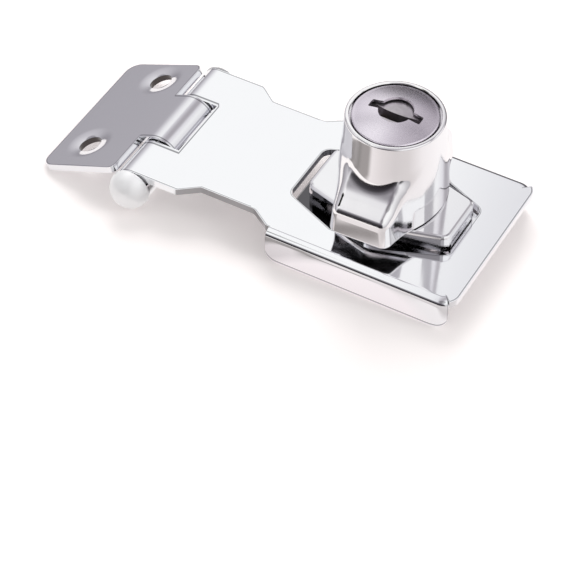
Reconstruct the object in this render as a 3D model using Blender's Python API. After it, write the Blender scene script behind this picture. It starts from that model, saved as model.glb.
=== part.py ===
"""Keyed twist-knob hasp: hinged strap, lock base, turning knob and wafer lock.

Sizes are written in millimetres and turned into metres when a mesh is made.
X runs along the strap from the hinge to its free end, Z is up and the knob
turns about the vertical line through the world origin.
"""
import math

import bmesh
import bpy
import numpy as np
from mathutils import Matrix

MM = 0.001
FIT = 0.3

# Sheet metal common to strap and leaf
SHEET = 1.5

# Strap
STRAP_TOP = 7.3
STRAP_WIDTH = 38.0
STRAP_RIGHT = 22.8
STRAP_BEND_R = 1.8
FLANGE_LEFT = -17.8
FLANGE_CORNER_R = 2.6
FREE_CORNER_R = 3.4
FLANGE_WRAP = 42.0
WRAP_RELIEF = 6.0
SHOULDER_X = -18.6
NECK_X = -22.8
NECK_STEP = 4.6
NECK_HALF = STRAP_WIDTH / 2.0 - NECK_STEP
SHOULDER_R = 1.2
NECK_R = 1.5
FLARE_R = 0.8
HINGE_ZONE_X = -34.9
HINGE_FLARE = 3.9
HINGE_HALF = 17.4
CUTOUT_X = -44.2
CUTOUT_HALF = 7.5
CUTOUT_CHAMFER = 0.6

# Slot in the strap and the boss that stands in it
SLOT_X = -1.4
SLOT_HALF_LENGTH = 17.5
SLOT_END_HALF = 7.2
SLOT_SLOPE = 0.41
SLOT_FLAT_HALF = 12.0
SLOT_CORNER_R = 2.2
SLOT_FLAT_R = 1.0
BOSS_TOP = 10.9
BOSS_Y = -0.45
BOSS_HALF_LENGTH = 15.45
BOSS_END_HALF = 5.9
BOSS_SLOPE = 0.28
BOSS_CORNER_R = 1.9
BOSS_MIDDLE_R = 4.0
BOSS_EDGE_R = 0.7

# Hinge
HINGE_X = -49.2
HINGE_Z = 3.4
STRAP_CURL_TURN = 295.0
LEAF_CURL_R = 4.6
LEAF_CURL_TURN = 285.0
LEAF_KNUCKLE_HALF = CUTOUT_HALF - FIT
LEAF_TILT = 22.74
LEAF_LENGTH = 21.95
LEAF_NECK = 2.85
LEAF_HALF = 17.6
LEAF_CORNER_R = 2.8
LEAF_NEAR_CORNER_R = 1.6
LEAF_NECK_R = 0.5
LEAF_HOLE_R = 2.35
LEAF_SINK_R = 4.6
LEAF_SINK_DEPTH = 0.4
LEAF_HOLES = ((7.65, -9.85), (11.45, 12.05))
PIN_HEAD_R = 4.2
PIN_HEAD_HEIGHT = 4.4
PIN_HEAD_LIP = 0.35
PIN_RIVET_R = 4.0
PIN_RIVET_HEIGHT = 1.4

# Base plate
PLATE_HALF_X = 18.3
PLATE_SIDE_GAP = 1.1
PLATE_HALF_Y = STRAP_WIDTH / 2.0 - SHEET - PLATE_SIDE_GAP
PLATE_TOP = 5.3
PLATE_FOOT_R = 0.3
PLATE_EDGE_R = 0.5
PLATE_CORNER_R = 5.0
SCREW_INSET_X = 4.9
SCREW_INSET_Y = 4.4
SCREW_X = PLATE_HALF_X - SCREW_INSET_X
SCREW_Y = PLATE_HALF_Y - SCREW_INSET_Y
SCREW_HOLE_R = 2.0
SCREW_SINK_R = 3.5
BASE_BORE_R = 7.0
BASE_SEAT_R = 9.4
BASE_SEAT_DEPTH = 4.2
POCKET_X = 10.8
POCKET_LENGTH = 3.2
POCKET_HALF_Y = 4.4
POCKET_TOP = 9.0
POCKET_DRAFT = 0.35
POCKET_CORNER_R = 0.8

# Knob
KNOB_BOTTOM = BOSS_TOP + FIT
KNOB_TOP = 31.0
KNOB_TOP_R = 9.75
KNOB_FOOT_R = 10.85
KNOB_RIM_R = 0.45
CAP_RECESS_R = 8.85
RECESS_FLOOR = 27.2
PLUG_BORE_R = 5.8
WEB_BOTTOM = 9.4
WEB_TOP = 10.6
TAIL_HOLE_R = 2.9
SPIGOT_BORE_R = 4.2
SPIGOT_R = BASE_BORE_R - FIT
SPIGOT_BOTTOM = 0.3
RING_GROOVE_R = 5.9
RING_GROOVE_BOTTOM = 0.95
RING_GROOVE_TOP = 2.25

# Wing
WING_TIP = 15.7
WING_TIP_HALF = 6.1
WING_FLARE = 0.24
WING_TIP_HEIGHT = 4.2
WING_SHOULDER = 6.2
WING_SLOPE = 0.9
WING_NOSE = 0.95
WING_EDGE_R = 1.2
WING_EDGE_GROWTH = 0.3
WING_EDGE_MAX = 3.0
WING_CORNER_R = 1.8
WING_DRAFT = 0.085
WING_TURN = 2.0

# Cap and plug
CAP_R = 8.5
CAP_CROWN = 1.3
CAP_EDGE_R = 0.4
CAP_SHEET = 0.5
CAP_SKIRT = 1.6
KEYHOLE_HALF = 5.45
KEYHOLE_WIDTH = 2.1
KEYHOLE_EYE_R = 3.4
PLUG_HEAD_R = 7.6
PLUG_R = PLUG_BORE_R - FIT
TAIL_R = TAIL_HOLE_R - FIT
KEYWAY_WIDTH = 2.0
KEYWAY_BOW = 1.15
KEYWAY_HEAD_HALF = 5.3
KEYWAY_BODY_HALF = 4.1
KEYWAY_BOTTOM = 13.0

# Wafers and their springs
WAFER_COUNT = 5
WAFER_TOP_Z = 25.0
WAFER_PITCH = 2.6
WAFER_THICK = 1.0
WAFER_R = 5.35
WAFER_HALF_Y = 3.6
WAFER_TRAVEL = 0.9
WINDOW_HALF_X = 3.5
WINDOW_LOW = -2.45
WINDOW_HIGH = 1.2
LUG_X = 1.6
LUG_WIDTH = 0.7
LUG_TIP = 4.5
SPRING_LENGTH = 3.0
SPRING_R = 0.38
SPRING_WIRE = 0.12
SPRING_TURNS = 4

# Cam, bolt and the small parts of the lock
CAM_R = SPIGOT_BORE_R - FIT
CAM_THICK = 1.5
CRANK = 2.2
CRANK_PIN_R = 0.6
CRANK_PIN_LENGTH = 2.2
CAM_SCREW_R = 0.6
CAM_SCREW_HEAD_R = 1.25
CAM_SCREW_LENGTH = 4.7
BOLT_THICK = 1.8
BOLT_HALF_Y = 3.2
BOLT_BACK = -3.6
BOLT_FRONT = 6.2
BOLT_NOSE_X = 0.8
BOLT_NOSE_Y = 1.2
NOTCH_DEPTH = 1.5
STOP_PIN_R = 0.8
STOP_PIN_AT = 8.1
STOP_PIN_ANGLE = -45.0
STOP_DEPTH = 1.6
WASHER_THICK = 0.7
WAVE_HEIGHT = 0.14
WAVE_THICK = 0.3
RING_THICK = 0.7
RING_INSET = 0.8
RING_GAP_HALF = 14.0

SMOOTH = math.radians(35.0)


def srgb(hexa):
    """Linear colour of a hex colour."""
    parts = [int(hexa[i:i + 2], 16) / 255.0 for i in (0, 2, 4)]
    lin = [c / 12.92 if c <= 0.04045 else ((c + 0.055) / 1.055) ** 2.4 for c in parts]
    return (*lin, 1.0)


def finish(name, colour, roughness, metallic):
    """A plain material of its own for one piece."""
    mat = bpy.data.materials.new(name)
    mat.use_nodes = True
    shader = mat.node_tree.nodes["Principled BSDF"]
    shader.inputs["Base Color"].default_value = srgb(colour)
    shader.inputs["Roughness"].default_value = roughness
    shader.inputs["Metallic"].default_value = metallic
    return mat


CHROME = ("D8DADD", 0.08, 1.0)
SATIN = ("A9A5AC", 0.34, 1.0)
STEEL = ("B4B6B9", 0.3, 1.0)
ZINC = ("9EA1A4", 0.42, 1.0)
BRASS = ("C9A65A", 0.25, 1.0)


def put(name, bm, look, origin=(0.0, 0.0, 0.0), smooth=False):
    """Makes a scene object of a mesh drawn in millimetres about its origin."""
    bmesh.ops.recalc_face_normals(bm, faces=bm.faces)
    bmesh.ops.scale(bm, vec=(MM, MM, MM), verts=bm.verts)
    mesh = bpy.data.meshes.new(name)
    bm.to_mesh(mesh)
    bm.free()
    obj = bpy.data.objects.new(name, mesh)
    bpy.context.scene.collection.objects.link(obj)
    obj.location = [c * MM for c in origin]
    if look:
        mesh.materials.append(finish(name + "_finish", *look))
    if smooth:
        mesh.shade_smooth()
        mesh.set_sharp_from_angle(angle=SMOOTH)
    return obj


def cutter(name, bm, origin=(0.0, 0.0, 0.0)):
    """A hidden body that is cut from or added to a piece."""
    obj = put(name, bm, None, origin)
    obj.hide_render = True
    obj.display_type = "WIRE"
    return obj


def combine(obj, tool, operation="DIFFERENCE"):
    """Adds one exact Boolean step to a piece."""
    step = obj.modifiers.new(tool.name, "BOOLEAN")
    step.operation = operation
    step.solver = "EXACT"
    step.object = tool


def turned(profile, segments, along_y=False):
    """Body turned about Z from a profile of (radius, height) points."""
    bm = bmesh.new()
    verts = [bm.verts.new((r, 0.0, z)) for r, z in profile]
    for a, b in zip(verts, verts[1:]):
        bm.edges.new((a, b))
    if profile[0][0] > 0.0:
        bm.edges.new((verts[-1], verts[0]))
    bmesh.ops.spin(bm, geom=bm.verts[:] + bm.edges[:], cent=(0.0, 0.0, 0.0), axis=(0.0, 0.0, 1.0),
                   angle=2.0 * math.pi, steps=segments, use_duplicate=False)
    bmesh.ops.remove_doubles(bm, verts=bm.verts, dist=1e-3)
    if along_y:
        bmesh.ops.rotate(bm, verts=bm.verts, cent=(0.0, 0.0, 0.0),
                         matrix=Matrix.Rotation(-math.pi / 2.0, 3, "X"))
    return bm


def loft(rings):
    """Closed body through a stack of rings with equal point counts."""
    bm = bmesh.new()
    rows = [[bm.verts.new(p) for p in ring] for ring in rings]
    count = len(rows[0])
    for low, high in zip(rows, rows[1:]):
        for i in range(count):
            j = (i + 1) % count
            bm.faces.new((low[i], low[j], high[j], high[i]))
    bm.faces.new(rows[0])
    bm.faces.new(rows[-1])
    return bm


def plate(outline, holes, bottom, top):
    """Flat plate between two heights, with holes through it."""
    bm = bmesh.new()
    for loop in [outline] + list(holes):
        verts = [bm.verts.new((x, y, bottom)) for x, y in loop]
        for a, b in zip(verts, verts[1:] + verts[:1]):
            bm.edges.new((a, b))
    bmesh.ops.triangle_fill(bm, use_beauty=True, use_dissolve=False, edges=bm.edges[:])
    made = bmesh.ops.extrude_face_region(bm, geom=bm.faces[:])
    up = [g for g in made["geom"] if isinstance(g, bmesh.types.BMVert)]
    bmesh.ops.translate(bm, vec=(0.0, 0.0, top - bottom), verts=up)
    return bm


def box(low, high):
    """Box between two corner points."""
    x0, y0, z0 = low
    x1, y1, z1 = high
    return plate([(x0, y0), (x1, y0), (x1, y1), (x0, y1)], [], z0, z1)


def merged(parts):
    """One mesh out of several separate ones."""
    whole = bmesh.new()
    for bm in parts:
        mesh = bpy.data.meshes.new("merge")
        bm.to_mesh(mesh)
        bm.free()
        whole.from_mesh(mesh)
        bpy.data.meshes.remove(mesh)
    return whole


def arc(cx, cy, radius, start, stop, steps):
    """Points of an arc, angles in degrees."""
    angles = np.radians(np.linspace(start, stop, steps + 1))
    return [(cx + radius * math.cos(a), cy + radius * math.sin(a)) for a in angles]


def rounded(corners, radii, steps=5):
    """Closed outline with each corner rounded by its own radius."""
    points = []
    count = len(corners)
    for i in range(count):
        p = np.array(corners[i], float)
        to_prev = np.array(corners[i - 1], float) - p
        to_next = np.array(corners[(i + 1) % count], float) - p
        to_prev /= np.linalg.norm(to_prev)
        to_next /= np.linalg.norm(to_next)
        if radii[i] <= 0.0:
            points.append(tuple(p))
            continue
        half = 0.5 * math.acos(float(np.clip(to_prev @ to_next, -1.0, 1.0)))
        middle = (to_prev + to_next) / np.linalg.norm(to_prev + to_next)
        centre = p + middle * radii[i] / math.sin(half)
        first = p + to_prev * radii[i] / math.tan(half) - centre
        last = p + to_next * radii[i] / math.tan(half) - centre
        a = math.atan2(first[1], first[0])
        turn = (math.atan2(last[1], last[0]) - a + math.pi) % (2.0 * math.pi) - math.pi
        for k in range(steps + 1):
            b = a + turn * k / steps
            points.append((centre[0] + radii[i] * math.cos(b), centre[1] + radii[i] * math.sin(b)))
    return points


def mirrored(half):
    """Closed outline from its upper half, drawn from right to left."""
    lower = [(x, -y) for x, y in reversed(half)]
    return half + lower


def sheet(name, bm, look, origin=(0.0, 0.0, 0.0)):
    """Gives a drawn outer surface the sheet's thickness, inwards."""
    bmesh.ops.remove_doubles(bm, verts=bm.verts, dist=1e-4)
    bmesh.ops.recalc_face_normals(bm, faces=bm.faces)
    upper = max(bm.faces, key=lambda f: f.calc_area())
    if upper.normal.z < 0.0:
        bmesh.ops.reverse_faces(bm, faces=bm.faces)
    bmesh.ops.scale(bm, vec=(MM, MM, MM), verts=bm.verts)
    mesh = bpy.data.meshes.new(name)
    bm.to_mesh(mesh)
    bm.free()
    obj = bpy.data.objects.new(name, mesh)
    bpy.context.scene.collection.objects.link(obj)
    obj.location = [c * MM for c in origin]
    mesh.materials.append(finish(name + "_finish", *look))
    mesh.shade_smooth()
    thick = obj.modifiers.new("Sheet", "SOLIDIFY")
    thick.thickness = SHEET * MM
    thick.offset = -1.0
    thick.use_even_offset = True
    return obj


def grid_faces(bm, columns):
    """Quads between neighbouring columns of points."""
    rows = [[bm.verts.new(p) for p in column] for column in columns]
    for a, b in zip(rows, rows[1:]):
        for i in range(len(a) - 1):
            bm.faces.new((a[i], a[i + 1], b[i + 1], b[i]))


def slot_outline():
    """Long hexagonal slot of the strap."""
    reach = SLOT_END_HALF + SLOT_SLOPE * SLOT_HALF_LENGTH
    flat = (reach - SLOT_FLAT_HALF) / SLOT_SLOPE
    xs = [SLOT_HALF_LENGTH, flat, -flat, -SLOT_HALF_LENGTH]
    ys = [SLOT_END_HALF, SLOT_FLAT_HALF, SLOT_FLAT_HALF, SLOT_END_HALF]
    upper = [(SLOT_X + x, y) for x, y in zip(xs, ys)]
    corners = mirrored(upper)
    return rounded(corners, [SLOT_CORNER_R, SLOT_FLAT_R, SLOT_FLAT_R, SLOT_CORNER_R] * 2, 4)


def flange_path():
    """Stations along the bend of the back flange, from its left end round the free corner.

    Each is (length along the outer face, place of the bend's start, outward direction)."""
    corner_x = STRAP_RIGHT - FREE_CORNER_R
    corner_y = STRAP_WIDTH / 2.0 - FREE_CORNER_R
    straight = corner_x - FLANGE_LEFT
    whole = straight + FREE_CORNER_R * math.radians(FLANGE_WRAP)
    run = [FLANGE_CORNER_R * (1.0 - math.cos(math.radians(a))) for a in (0, 22.5, 45, 67.5, 90)]
    lengths = sorted(set(run + [straight] + [whole - r for r in run]))
    stations = []
    for length in lengths:
        turn = max(length - straight, 0.0) / FREE_CORNER_R
        out = (math.sin(turn), math.cos(turn))
        if turn > 0.0:
            inner = FREE_CORNER_R - STRAP_BEND_R
            place = (corner_x + inner * out[0], corner_y + inner * out[1])
        else:
            place = (FLANGE_LEFT + length, STRAP_WIDTH / 2.0 - STRAP_BEND_R)
        stations.append((length, place, out))
    return stations, whole


def flange_bottom(length, whole):
    """Height of the flange's lower edge, with its corners rounded."""
    from_end = min(length, whole - length)
    if from_end >= FLANGE_CORNER_R:
        return 0.0
    inside = FLANGE_CORNER_R - from_end
    return FLANGE_CORNER_R - math.sqrt(max(FLANGE_CORNER_R ** 2 - inside ** 2, 0.0))


def strap_half_outline(flat_half):
    """Back half of the strap's flat top, from the free end to the knuckle."""
    corner = (STRAP_RIGHT - FREE_CORNER_R, STRAP_WIDTH / 2.0 - FREE_CORNER_R)
    end = 90.0 - FLANGE_WRAP - WRAP_RELIEF
    right = arc(*corner, FREE_CORNER_R, 0, end, 4)
    right += arc(*corner, FREE_CORNER_R - STRAP_BEND_R, end, end, 0)
    edge = [place for _, place, _ in reversed(flange_path()[0])]
    corners = [(FLANGE_LEFT, flat_half), (SHOULDER_X, flat_half), (NECK_X, NECK_HALF),
               (HINGE_ZONE_X, NECK_HALF), (HINGE_ZONE_X - HINGE_FLARE, HINGE_HALF), (HINGE_X, HINGE_HALF)]
    left = rounded(corners, [0.0, SHOULDER_R, NECK_R, FLARE_R, FLARE_R, 0.0], 4)[1:]
    cutout = [(HINGE_X, CUTOUT_HALF), (CUTOUT_X - CUTOUT_CHAMFER, CUTOUT_HALF),
              (CUTOUT_X, CUTOUT_HALF - CUTOUT_CHAMFER)]
    return right + edge + left + cutout


def make_strap():
    """Folded sheet strap with side flanges, slot and two knuckles."""
    flat_half = STRAP_WIDTH / 2.0 - STRAP_BEND_R
    outline = mirrored(strap_half_outline(flat_half))
    bm = bmesh.new()
    for loop in (outline, slot_outline()):
        verts = [bm.verts.new((x, y, STRAP_TOP)) for x, y in loop]
        for a, b in zip(verts, verts[1:] + verts[:1]):
            bm.edges.new((a, b))
    bmesh.ops.remove_doubles(bm, verts=bm.verts, dist=1e-4)
    bmesh.ops.triangle_fill(bm, use_beauty=True, use_dissolve=False, edges=bm.edges[:])
    stations, whole = flange_path()
    bend = arc(0.0, STRAP_TOP - STRAP_BEND_R, STRAP_BEND_R, 90, 0, 5)
    for side in (-1.0, 1.0):
        columns = []
        for length, place, out in stations:
            section = bend + [(STRAP_BEND_R, flange_bottom(length, whole))]
            columns.append([(place[0] + u * out[0], side * (place[1] + u * out[1]), z) for u, z in section])
        grid_faces(bm, columns)
        curl = arc(HINGE_X, HINGE_Z, STRAP_TOP - HINGE_Z, 90, 90 + STRAP_CURL_TURN, 30)
        grid_faces(bm, [[(x, side * y, z) for x, z in curl] for y in (CUTOUT_HALF, HINGE_HALF)])
    return sheet("strap", bm, CHROME)


def make_leaf():
    """Hinged leaf with its middle knuckle and two staggered screw holes."""
    corners = [(-LEAF_NECK, LEAF_KNUCKLE_HALF), (-LEAF_NECK, LEAF_HALF), (-LEAF_LENGTH, LEAF_HALF)]
    upper = [(0.0, LEAF_KNUCKLE_HALF)] + rounded(
        corners + [(-LEAF_LENGTH, 0.0)], [LEAF_NECK_R, LEAF_NEAR_CORNER_R, LEAF_CORNER_R, 0.0], 6)[:-1]
    bm = bmesh.new()
    verts = [bm.verts.new((x, y, LEAF_CURL_R)) for x, y in mirrored(upper)]
    for a, b in zip(verts, verts[1:] + verts[:1]):
        bm.edges.new((a, b))
    for along, across in LEAF_HOLES:
        loop = arc(along - LEAF_LENGTH, across, LEAF_HOLE_R, 0, 337.5, 15)
        ring = [bm.verts.new((x, y, LEAF_CURL_R)) for x, y in loop]
        for a, b in zip(ring, ring[1:] + ring[:1]):
            bm.edges.new((a, b))
    bmesh.ops.triangle_fill(bm, use_beauty=True, use_dissolve=False, edges=bm.edges[:])
    curl = arc(0.0, 0.0, LEAF_CURL_R, 90, 90 - LEAF_CURL_TURN, 30)
    grid_faces(bm, [[(x, y, z) for x, z in curl] for y in (-LEAF_KNUCKLE_HALF, LEAF_KNUCKLE_HALF)])
    bmesh.ops.rotate(bm, verts=bm.verts, cent=(0.0, 0.0, 0.0),
                     matrix=Matrix.Rotation(math.radians(-LEAF_TILT), 3, "Y"))
    obj = sheet("leaf", bm, CHROME, (HINGE_X, 0.0, HINGE_Z))
    cones = []
    for along, across in LEAF_HOLES:
        top = LEAF_CURL_R
        profile = [(0.0, top - LEAF_SINK_DEPTH), (LEAF_HOLE_R, top - LEAF_SINK_DEPTH),
                   (LEAF_SINK_R, top), (LEAF_SINK_R, top + 1.0), (0.0, top + 1.0)]
        cone = turned(profile, 32)
        bmesh.ops.translate(cone, vec=(along - LEAF_LENGTH, across, 0.0), verts=cone.verts)
        bmesh.ops.rotate(cone, verts=cone.verts, cent=(0.0, 0.0, 0.0),
                         matrix=Matrix.Rotation(math.radians(-LEAF_TILT), 3, "Y"))
        cones.append(cone)
    combine(obj, cutter("leaf_sinks", merged(cones), (HINGE_X, 0.0, HINGE_Z)))
    return obj


def make_hinge_pin():
    """Round-headed hinge pin, riveted over at its far end."""
    shank = STRAP_TOP - HINGE_Z - SHEET - FIT
    seat = HINGE_HALF + FIT
    crown = arc(0.0, 0.0, 1.0, 270, 360, 8)
    height = PIN_HEAD_HEIGHT - PIN_HEAD_LIP
    head = [(PIN_HEAD_R * x, height * z - seat - PIN_HEAD_LIP) for x, z in crown]
    head[0] = (0.0, head[0][1])
    end = arc(0.0, 0.0, 1.0, 0, 90, 5)
    tail = [(PIN_RIVET_R * x, seat + PIN_RIVET_HEIGHT * z) for x, z in end]
    tail[-1] = (0.0, tail[-1][1])
    profile = head + [(PIN_HEAD_R, -seat), (shank, -seat), (shank, seat)] + tail
    bm = turned(profile, 36, along_y=True)
    return put("hinge_pin", bm, CHROME, (HINGE_X, 0.0, HINGE_Z), smooth=True)


def boss_ring(inset, height):
    """Outline of the boss, drawn in by an inset."""
    slant = math.hypot(1.0, BOSS_SLOPE)
    length = BOSS_HALF_LENGTH - inset
    middle = BOSS_END_HALF + BOSS_SLOPE * BOSS_HALF_LENGTH - inset * slant
    end = middle - BOSS_SLOPE * length
    corners = mirrored([(length, end), (0.0, middle), (-length, end)])
    radii = [BOSS_CORNER_R - inset, BOSS_MIDDLE_R, BOSS_CORNER_R - inset] * 2
    return [(x, y + BOSS_Y, height) for x, y in rounded(corners, radii, 4)]


def plate_ring(inset, height):
    """Outline of the base plate, drawn in by an inset."""
    x = PLATE_HALF_X - inset
    y = PLATE_HALF_Y - inset
    return [(px, py, height) for px, py in rounded([(x, y), (-x, y), (-x, -y), (x, -y)],
                                                   [PLATE_CORNER_R - inset] * 4, 6)]


def make_lock_base():
    """Cast lock base with its boss, bore, seat for the ring and screw holes."""
    rings = [plate_ring(PLATE_FOOT_R, 0.0), plate_ring(0.0, PLATE_FOOT_R),
             plate_ring(0.0, PLATE_TOP - PLATE_EDGE_R), plate_ring(PLATE_EDGE_R, PLATE_TOP)]
    obj = put("lock_base", loft(rings), CHROME, smooth=True)
    edge = [(BOSS_EDGE_R * (1.0 - math.cos(a)), BOSS_TOP - BOSS_EDGE_R * (1.0 - math.sin(a)))
            for a in np.radians((0.0, 30.0, 60.0, 90.0))]
    rings = [boss_ring(0.0, PLATE_TOP - 2.0)] + [boss_ring(i, z) for i, z in edge]
    combine(obj, cutter("boss_body", loft(rings)), "UNION")
    bore = [(0.0, -1.0), (BASE_SEAT_R, -1.0)]
    bore += [(BASE_SEAT_R, BASE_SEAT_DEPTH), (BASE_BORE_R, BASE_SEAT_DEPTH)]
    bore += [(BASE_BORE_R, BOSS_TOP - 0.3), (BASE_BORE_R + 0.3, BOSS_TOP)]
    bore += [(BASE_BORE_R + 0.3, BOSS_TOP + 1.0), (0.0, BOSS_TOP + 1.0)]
    combine(obj, cutter("base_bore", turned(bore, 48)))
    reach = BASE_BORE_R + NOTCH_DEPTH
    half = BOLT_HALF_Y + FIT
    roof = bolt_top() + FIT
    near = BASE_BORE_R - NOTCH_DEPTH
    notches = [box((near, -half, BASE_SEAT_DEPTH - 0.5), (reach, half, roof)),
               box((-half, near, BASE_SEAT_DEPTH - 0.5), (half, reach, roof))]
    combine(obj, cutter("bolt_notches", merged(notches)))
    reach = STOP_PIN_AT + STOP_PIN_R + FIT
    play = math.degrees((STOP_PIN_R + FIT) / STOP_PIN_AT)
    outer = arc(0.0, 0.0, reach, STOP_PIN_ANGLE - play, STOP_PIN_ANGLE + 90.0 + play, 20)
    inner = arc(0.0, 0.0, BASE_BORE_R - 0.6, STOP_PIN_ANGLE + 90.0 + play, STOP_PIN_ANGLE - play, 20)
    combine(obj, cutter("stop_recess", plate(outer + inner, [], BOSS_TOP - STOP_DEPTH, BOSS_TOP + 1.0)))
    pockets = []
    for side in (-1.0, 1.0):
        rings = []
        for inset, z in ((0.0, -1.0), (POCKET_DRAFT, POCKET_TOP)):
            x0 = side * (POCKET_X + inset)
            x1 = side * (POCKET_X + POCKET_LENGTH - inset)
            y = POCKET_HALF_Y - inset
            corners = [(x0, -y), (x1, -y), (x1, y), (x0, y)]
            rings.append([(px, py, z) for px, py in rounded(corners, [POCKET_CORNER_R] * 4, 3)])
        pockets.append(loft(rings))
    combine(obj, cutter("core_pockets", merged(pockets)))
    holes = []
    for x in (-SCREW_X, SCREW_X):
        for y in (-SCREW_Y, SCREW_Y):
            deep = PLATE_TOP - (SCREW_SINK_R - SCREW_HOLE_R)
            profile = [(0.0, -1.0), (SCREW_HOLE_R, -1.0), (SCREW_HOLE_R, deep)]
            profile += [(SCREW_SINK_R, PLATE_TOP), (SCREW_SINK_R, PLATE_TOP + 1.0), (0.0, PLATE_TOP + 1.0)]
            hole = turned(profile, 24)
            bmesh.ops.translate(hole, vec=(x, y, 0.0), verts=hole.verts)
            holes.append(hole)
    combine(obj, cutter("screw_holes", merged(holes)))
    return obj


def wing_height(y):
    """Height of the wing's top: a rounded nose, then a slope up to the drum."""
    from_tip = WING_TIP - abs(y)
    if from_tip < WING_NOSE:
        rise = math.sqrt(max(1.0 - (1.0 - from_tip / WING_NOSE) ** 2, 0.0))
        return KNOB_BOTTOM + WING_TIP_HEIGHT + (WING_SHOULDER - WING_TIP_HEIGHT) * rise
    return KNOB_BOTTOM + WING_SHOULDER + WING_SLOPE * (from_tip - WING_NOSE)


def wing_half(y):
    """Half width of the wing at its foot, with its corners rounded in plan."""
    from_tip = WING_TIP - abs(y)
    side = WING_TIP_HALF + WING_FLARE * min(from_tip, WING_TIP - PLUG_BORE_R)
    if from_tip < WING_CORNER_R:
        side -= WING_CORNER_R * (1.0 - math.sqrt(1.0 - (1.0 - from_tip / WING_CORNER_R) ** 2))
    return side


def wing_section(y):
    """Cross-section of the wing: drafted sides and rounded upper edges."""
    half = wing_half(y)
    top = wing_height(y)
    growth = WING_EDGE_GROWTH * max(WING_TIP - abs(y) - WING_NOSE, 0.0)
    edge = min(WING_EDGE_R + growth, WING_EDGE_MAX)
    narrow = half - WING_DRAFT * (top - edge - KNOB_BOTTOM)
    right = [(half - 0.3, KNOB_BOTTOM), (half, KNOB_BOTTOM + 0.3)]
    right += arc(narrow - edge, top - edge, edge, 0, 90, 5)
    return [(x, y, z) for x, z in right + [(-x, z) for x, z in reversed(right)]]


def make_knob():
    """Cast knob: tapered drum with a crosswise wing bar and a spigot below."""
    rim = arc(KNOB_TOP_R - KNOB_RIM_R, KNOB_TOP - KNOB_RIM_R, KNOB_RIM_R, 0, 90, 4)
    drum = [(0.0, SPIGOT_BOTTOM), (SPIGOT_R, SPIGOT_BOTTOM), (SPIGOT_R, RING_GROOVE_BOTTOM),
            (RING_GROOVE_R, RING_GROOVE_BOTTOM), (RING_GROOVE_R, RING_GROOVE_TOP),
            (SPIGOT_R, RING_GROOVE_TOP), (SPIGOT_R, KNOB_BOTTOM), (KNOB_FOOT_R, KNOB_BOTTOM),
            (KNOB_FOOT_R, KNOB_BOTTOM + 0.5)]
    span = KNOB_TOP - KNOB_BOTTOM
    for t in (0.1, 0.2, 0.45, 0.65, 0.8, 0.9):
        flare = 0.62 * (1.0 - t ** 1.6) + 0.3 * max(0.2 - t, 0.0)
        drum.append((KNOB_TOP_R + flare + 0.15 * (1.0 - t), KNOB_BOTTOM + span * t))
    drum += rim + [(0.0, KNOB_TOP)]
    obj = put("knob_body", turned(drum, 64), CHROME, smooth=True)
    inwards = [0.0, 0.05, 0.2, 0.45, WING_NOSE, 1.4, WING_CORNER_R, 4.0, 6.2, 8.4]
    stations = [inset - WING_TIP for inset in inwards]
    rings = [wing_section(y) for y in stations + [-y for y in reversed(stations)]]
    bar = loft(rings)
    bmesh.ops.rotate(bar, verts=bar.verts, cent=(0.0, 0.0, 0.0),
                     matrix=Matrix.Rotation(math.radians(WING_TURN), 3, "Z"))
    combine(obj, cutter("wing_bar", bar), "UNION")
    hollow = [(0.0, SPIGOT_BOTTOM - 1.0), (SPIGOT_BORE_R, SPIGOT_BOTTOM - 1.0), (SPIGOT_BORE_R, WEB_BOTTOM),
              (TAIL_HOLE_R, WEB_BOTTOM), (TAIL_HOLE_R, WEB_TOP), (PLUG_BORE_R, WEB_TOP),
              (PLUG_BORE_R, RECESS_FLOOR), (CAP_RECESS_R, RECESS_FLOOR), (CAP_RECESS_R, KNOB_TOP + 1.0),
              (0.0, KNOB_TOP + 1.0)]
    combine(obj, cutter("knob_hollow", turned(hollow, 64)))
    half = BOLT_HALF_Y + FIT
    channel = box((BOLT_BACK - FIT, -half, bolt_bottom() - FIT), (SPIGOT_R + 1.0, half, bolt_top() + FIT))
    combine(obj, cutter("bolt_channel", channel))
    half = WAFER_HALF_Y + FIT
    near = half + 0.2
    far = WAFER_R + WAFER_TRAVEL + 2.0 * FIT
    low = wafer_heights()[-1] - WAFER_THICK
    grooves = [box((near, -half, low), (far, half, RECESS_FLOOR + 0.8)),
               box((-half, near, low), (half, far, RECESS_FLOOR + 0.8))]
    combine(obj, cutter("wafer_grooves", merged(grooves)))
    pin_hole = turned([(0.0, 0.0), (STOP_PIN_R + FIT, 0.0), (STOP_PIN_R + FIT, stop_pin_top() + FIT),
                       (0.0, stop_pin_top() + FIT)], 20)
    bmesh.ops.translate(pin_hole, vec=(*stop_pin_place(), 0.0), verts=pin_hole.verts)
    everything = pin_hole.verts[:] + pin_hole.edges[:] + pin_hole.faces[:]
    bmesh.ops.bisect_plane(pin_hole, geom=everything, plane_co=(0.0, 0.0, KNOB_BOTTOM - 0.5),
                           plane_no=(0.0, 0.0, -1.0), clear_outer=True)
    bmesh.ops.holes_fill(pin_hole, edges=pin_hole.edges)
    combine(obj, cutter("stop_pin_hole", pin_hole))
    return obj


def bolt_bottom():
    """Underside of the bolt, above the seat of the ring."""
    return BASE_SEAT_DEPTH + 1.0


def bolt_top():
    """Top of the bolt."""
    return bolt_bottom() + BOLT_THICK


def cam_bottom():
    """Underside of the cam disc, under the knob's web."""
    return WEB_BOTTOM - FIT - CAM_THICK


def stop_pin_place():
    """Place of the stop pin in plan."""
    a = math.radians(STOP_PIN_ANGLE)
    return (STOP_PIN_AT * math.cos(a), STOP_PIN_AT * math.sin(a))


def stop_pin_top():
    """Upper end of the stop pin inside the knob."""
    return KNOB_BOTTOM + 3.0


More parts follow.
